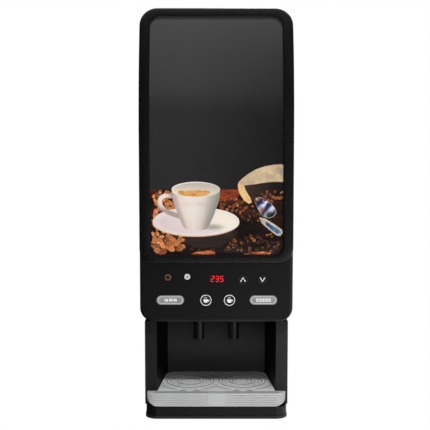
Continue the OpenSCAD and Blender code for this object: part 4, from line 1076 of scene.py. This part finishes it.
lamp_lens = surface(
    "lamp_lens", lambda p: p.noise(200, 2).tint(rgb(150, 151, 153), rgb(168, 169, 171)),
    rough=lambda p: p.noise(90, 2) * 0.1 + 0.2,
    glow=lambda p: p.noise(200, 2).tint(rgb(170, 172, 174), rgb(186, 188, 190)), glow_strength=0.06,
    height=lambda p: p.noise(400, 1), depth=0.00001)
dress(lamp_lens, "ready_lamp")
lamp_front = -1000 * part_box("ready_lamp")[0].y + face
cut("lamp_core", oval(-53, 268, 2.3, 2.3, 20), lamp_front - sunk, lamp_front + 0.1, label_grey)

# ---- lock ------------------------------------------------------------------
# A nickel-plated cam lock in the door's right side turns the catch behind the strike.

nickel = surface(
    "lock_nickel",
    lambda p: p.noise(120, 4).tint((0.46, 0.45, 0.43), (0.62, 0.61, 0.58)),
    rough=lambda p: p.noise(300, 3) * 0.18 + 0.22, metal=0.95, height=lambda p: p.noise(700, 2),
    depth=0.00002)
dress(nickel, "lock_barrel", "lock_cam")

# ---- drip tray -------------------------------------------------------------
# A black moulded tray slides forward with its silver front. The front is a painted
# moulding with five fine grooves to each side of a plain middle.

dress(moulded("tray_black", (0.012, 0.012, 0.013), rough=0.40), "drip_tray")


def grooved_silver(p):
    """Silver paint, with the grooves to each side of the plain middle in shade."""
    x, _, z = p.axes()
    turn = ((z - (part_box("tray_front_cover")[1].z - 0.0050)) / 0.0042).fract()
    line = turn.step(0.0, 0.08) * (1 - turn.step(0.34, 0.42))
    inside = z.step(0.050, 0.051) * (1 - z.step(0.072, 0.073))
    apart = x.absolute().step(0.0145, 0.0165) * (1 - x.absolute().step(0.114, 0.117))
    paint = (p.noise(10, 4) * 0.6 + p.noise(2500, 1) * 0.4).tint((0.30, 0.302, 0.305), (0.37, 0.372, 0.375))
    return (line * inside * apart * 0.65).tint(paint, (0.07, 0.07, 0.071))


low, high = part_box("tray_front_cover")
cover_w, cover_y0, cover_y1, cover_z0, cover_z1 = (
    1000 * v for v in (high.x - low.x, low.y, high.y, low.z, high.z))
cover_r, plain_half, sweep_run, sweep_rise = 18.0, 15.0, 25.0, 16.0


def cover_ring(z, plain, grooved):
    """The cover's plan at one height: plain in the middle, grooved beside it, swept up at the corners."""
    h, points = cover_w / 2, []
    turn = [
        (h - cover_r + (cover_r - grooved) * math.cos(math.radians(a)),
         cover_y0 + cover_r - (cover_r - grooved) * math.sin(math.radians(a))) for a in range(0, 91, 9)]
    right = [(h - grooved, cover_y1), (h - grooved, cover_y0 + cover_r + 0.1)] + turn
    right += [(x, cover_y0 + grooved) for x in (108, 106, 90, 60, 35, plain_half + 1.2)] + [
        (plain_half, cover_y0 + plain), (plain_half - 4, cover_y0 + plain), (0.0, cover_y0 + plain)]
    left = [(-x, y) for x, y in reversed(right[:-1])]
    ring = []
    for x, y in right + left:
        past = min(max((abs(x) - (h - sweep_run)) / sweep_run, 0), 1)
        foot = cover_z0 + sweep_rise * (1 - math.sqrt(1 - past * past))
        ring.append((x, y, max(z, foot + 0.04 * (z - cover_z0))))
    return ring


profile = [
    (cover_z0, 1.4, 1.4), (cover_z0 + 0.5, 0.5, 0.5), (cover_z0 + 1.2, 0.05, 0.05),
    (cover_z0 + 2.9, 0.0, 0.0)]
for i in range(5):
    z = cover_z1 - 5 - 4.2 * (4 - i)
    profile += [
        (z, 0.15, 0.15), (z + 0.25, 0.15, 0.9), (z + 0.8, 0.15, 1.25), (z + 1.35, 0.15, 0.9),
        (z + 1.6, 0.15, 0.15)]
profile += [
    (cover_z1 - 1.2, 0.15, 0.15), (cover_z1 - 0.5, 0.35, 0.35), (cover_z1 - 0.1, 0.9, 0.9),
    (cover_z1, 1.8, 1.8)]
cover_silver = surface(
    "cover_silver", grooved_silver,
    rough=lambda p: p.noise(60, 4) * 0.12 + 0.32, metal=0.1, height=lambda p: p.noise(2200, 1), depth=0.00002)
cover = loft("tray_front_silver", [cover_ring(*row) for row in profile], cover_silver, angle=50)
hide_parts("tray_front_cover")
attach(cover, "tray")

# ---- drip grille -----------------------------------------------------------
# A silver-painted moulding that lifts out of the tray. Raised rings mark where the two cups
# stand, and slots between them let the drips through.


def grille_colour(p):
    """Silver paint, with painted highlights on the raised rings and painted shade at their feet."""
    x, y, _ = p.axes()
    u, v = x.absolute() - 0.050, y + 0.143
    away = (u * u + v * v).root()
    # Each ring's crown is painted near white as a painted highlight, and a line at its foot painted dark as
    # painted shade.
    ring_highlight, ring_foot_shade = 0.0, 0.0
    for r in (0.022, 0.042, 0.059):
        gap = (away - r).absolute()
        ring_highlight = ring_highlight + (1 - gap.step(0.0010, 0.0018))
        ring_foot_shade = ring_foot_shade + (1 - (gap - 0.0026).absolute().step(0.0008, 0.0016))
    ground = (p.noise(12, 4) * 0.7 + p.noise(1800, 1) * 0.3).tint((0.46, 0.463, 0.467), (0.58, 0.583, 0.587))
    return (ring_highlight.clip() * 0.6).tint(
        (ring_foot_shade.clip() * 0.75).tint(ground, (0.12, 0.12, 0.121)), (0.78, 0.78, 0.785))


grille_silver = surface(
    "grille_silver", grille_colour,
    rough=lambda p: p.noise(60, 4) * 0.12 + 0.34, metal=0.1, height=lambda p: p.noise(2200, 1), depth=0.00002)
dress(grille_silver, "drip_grille")
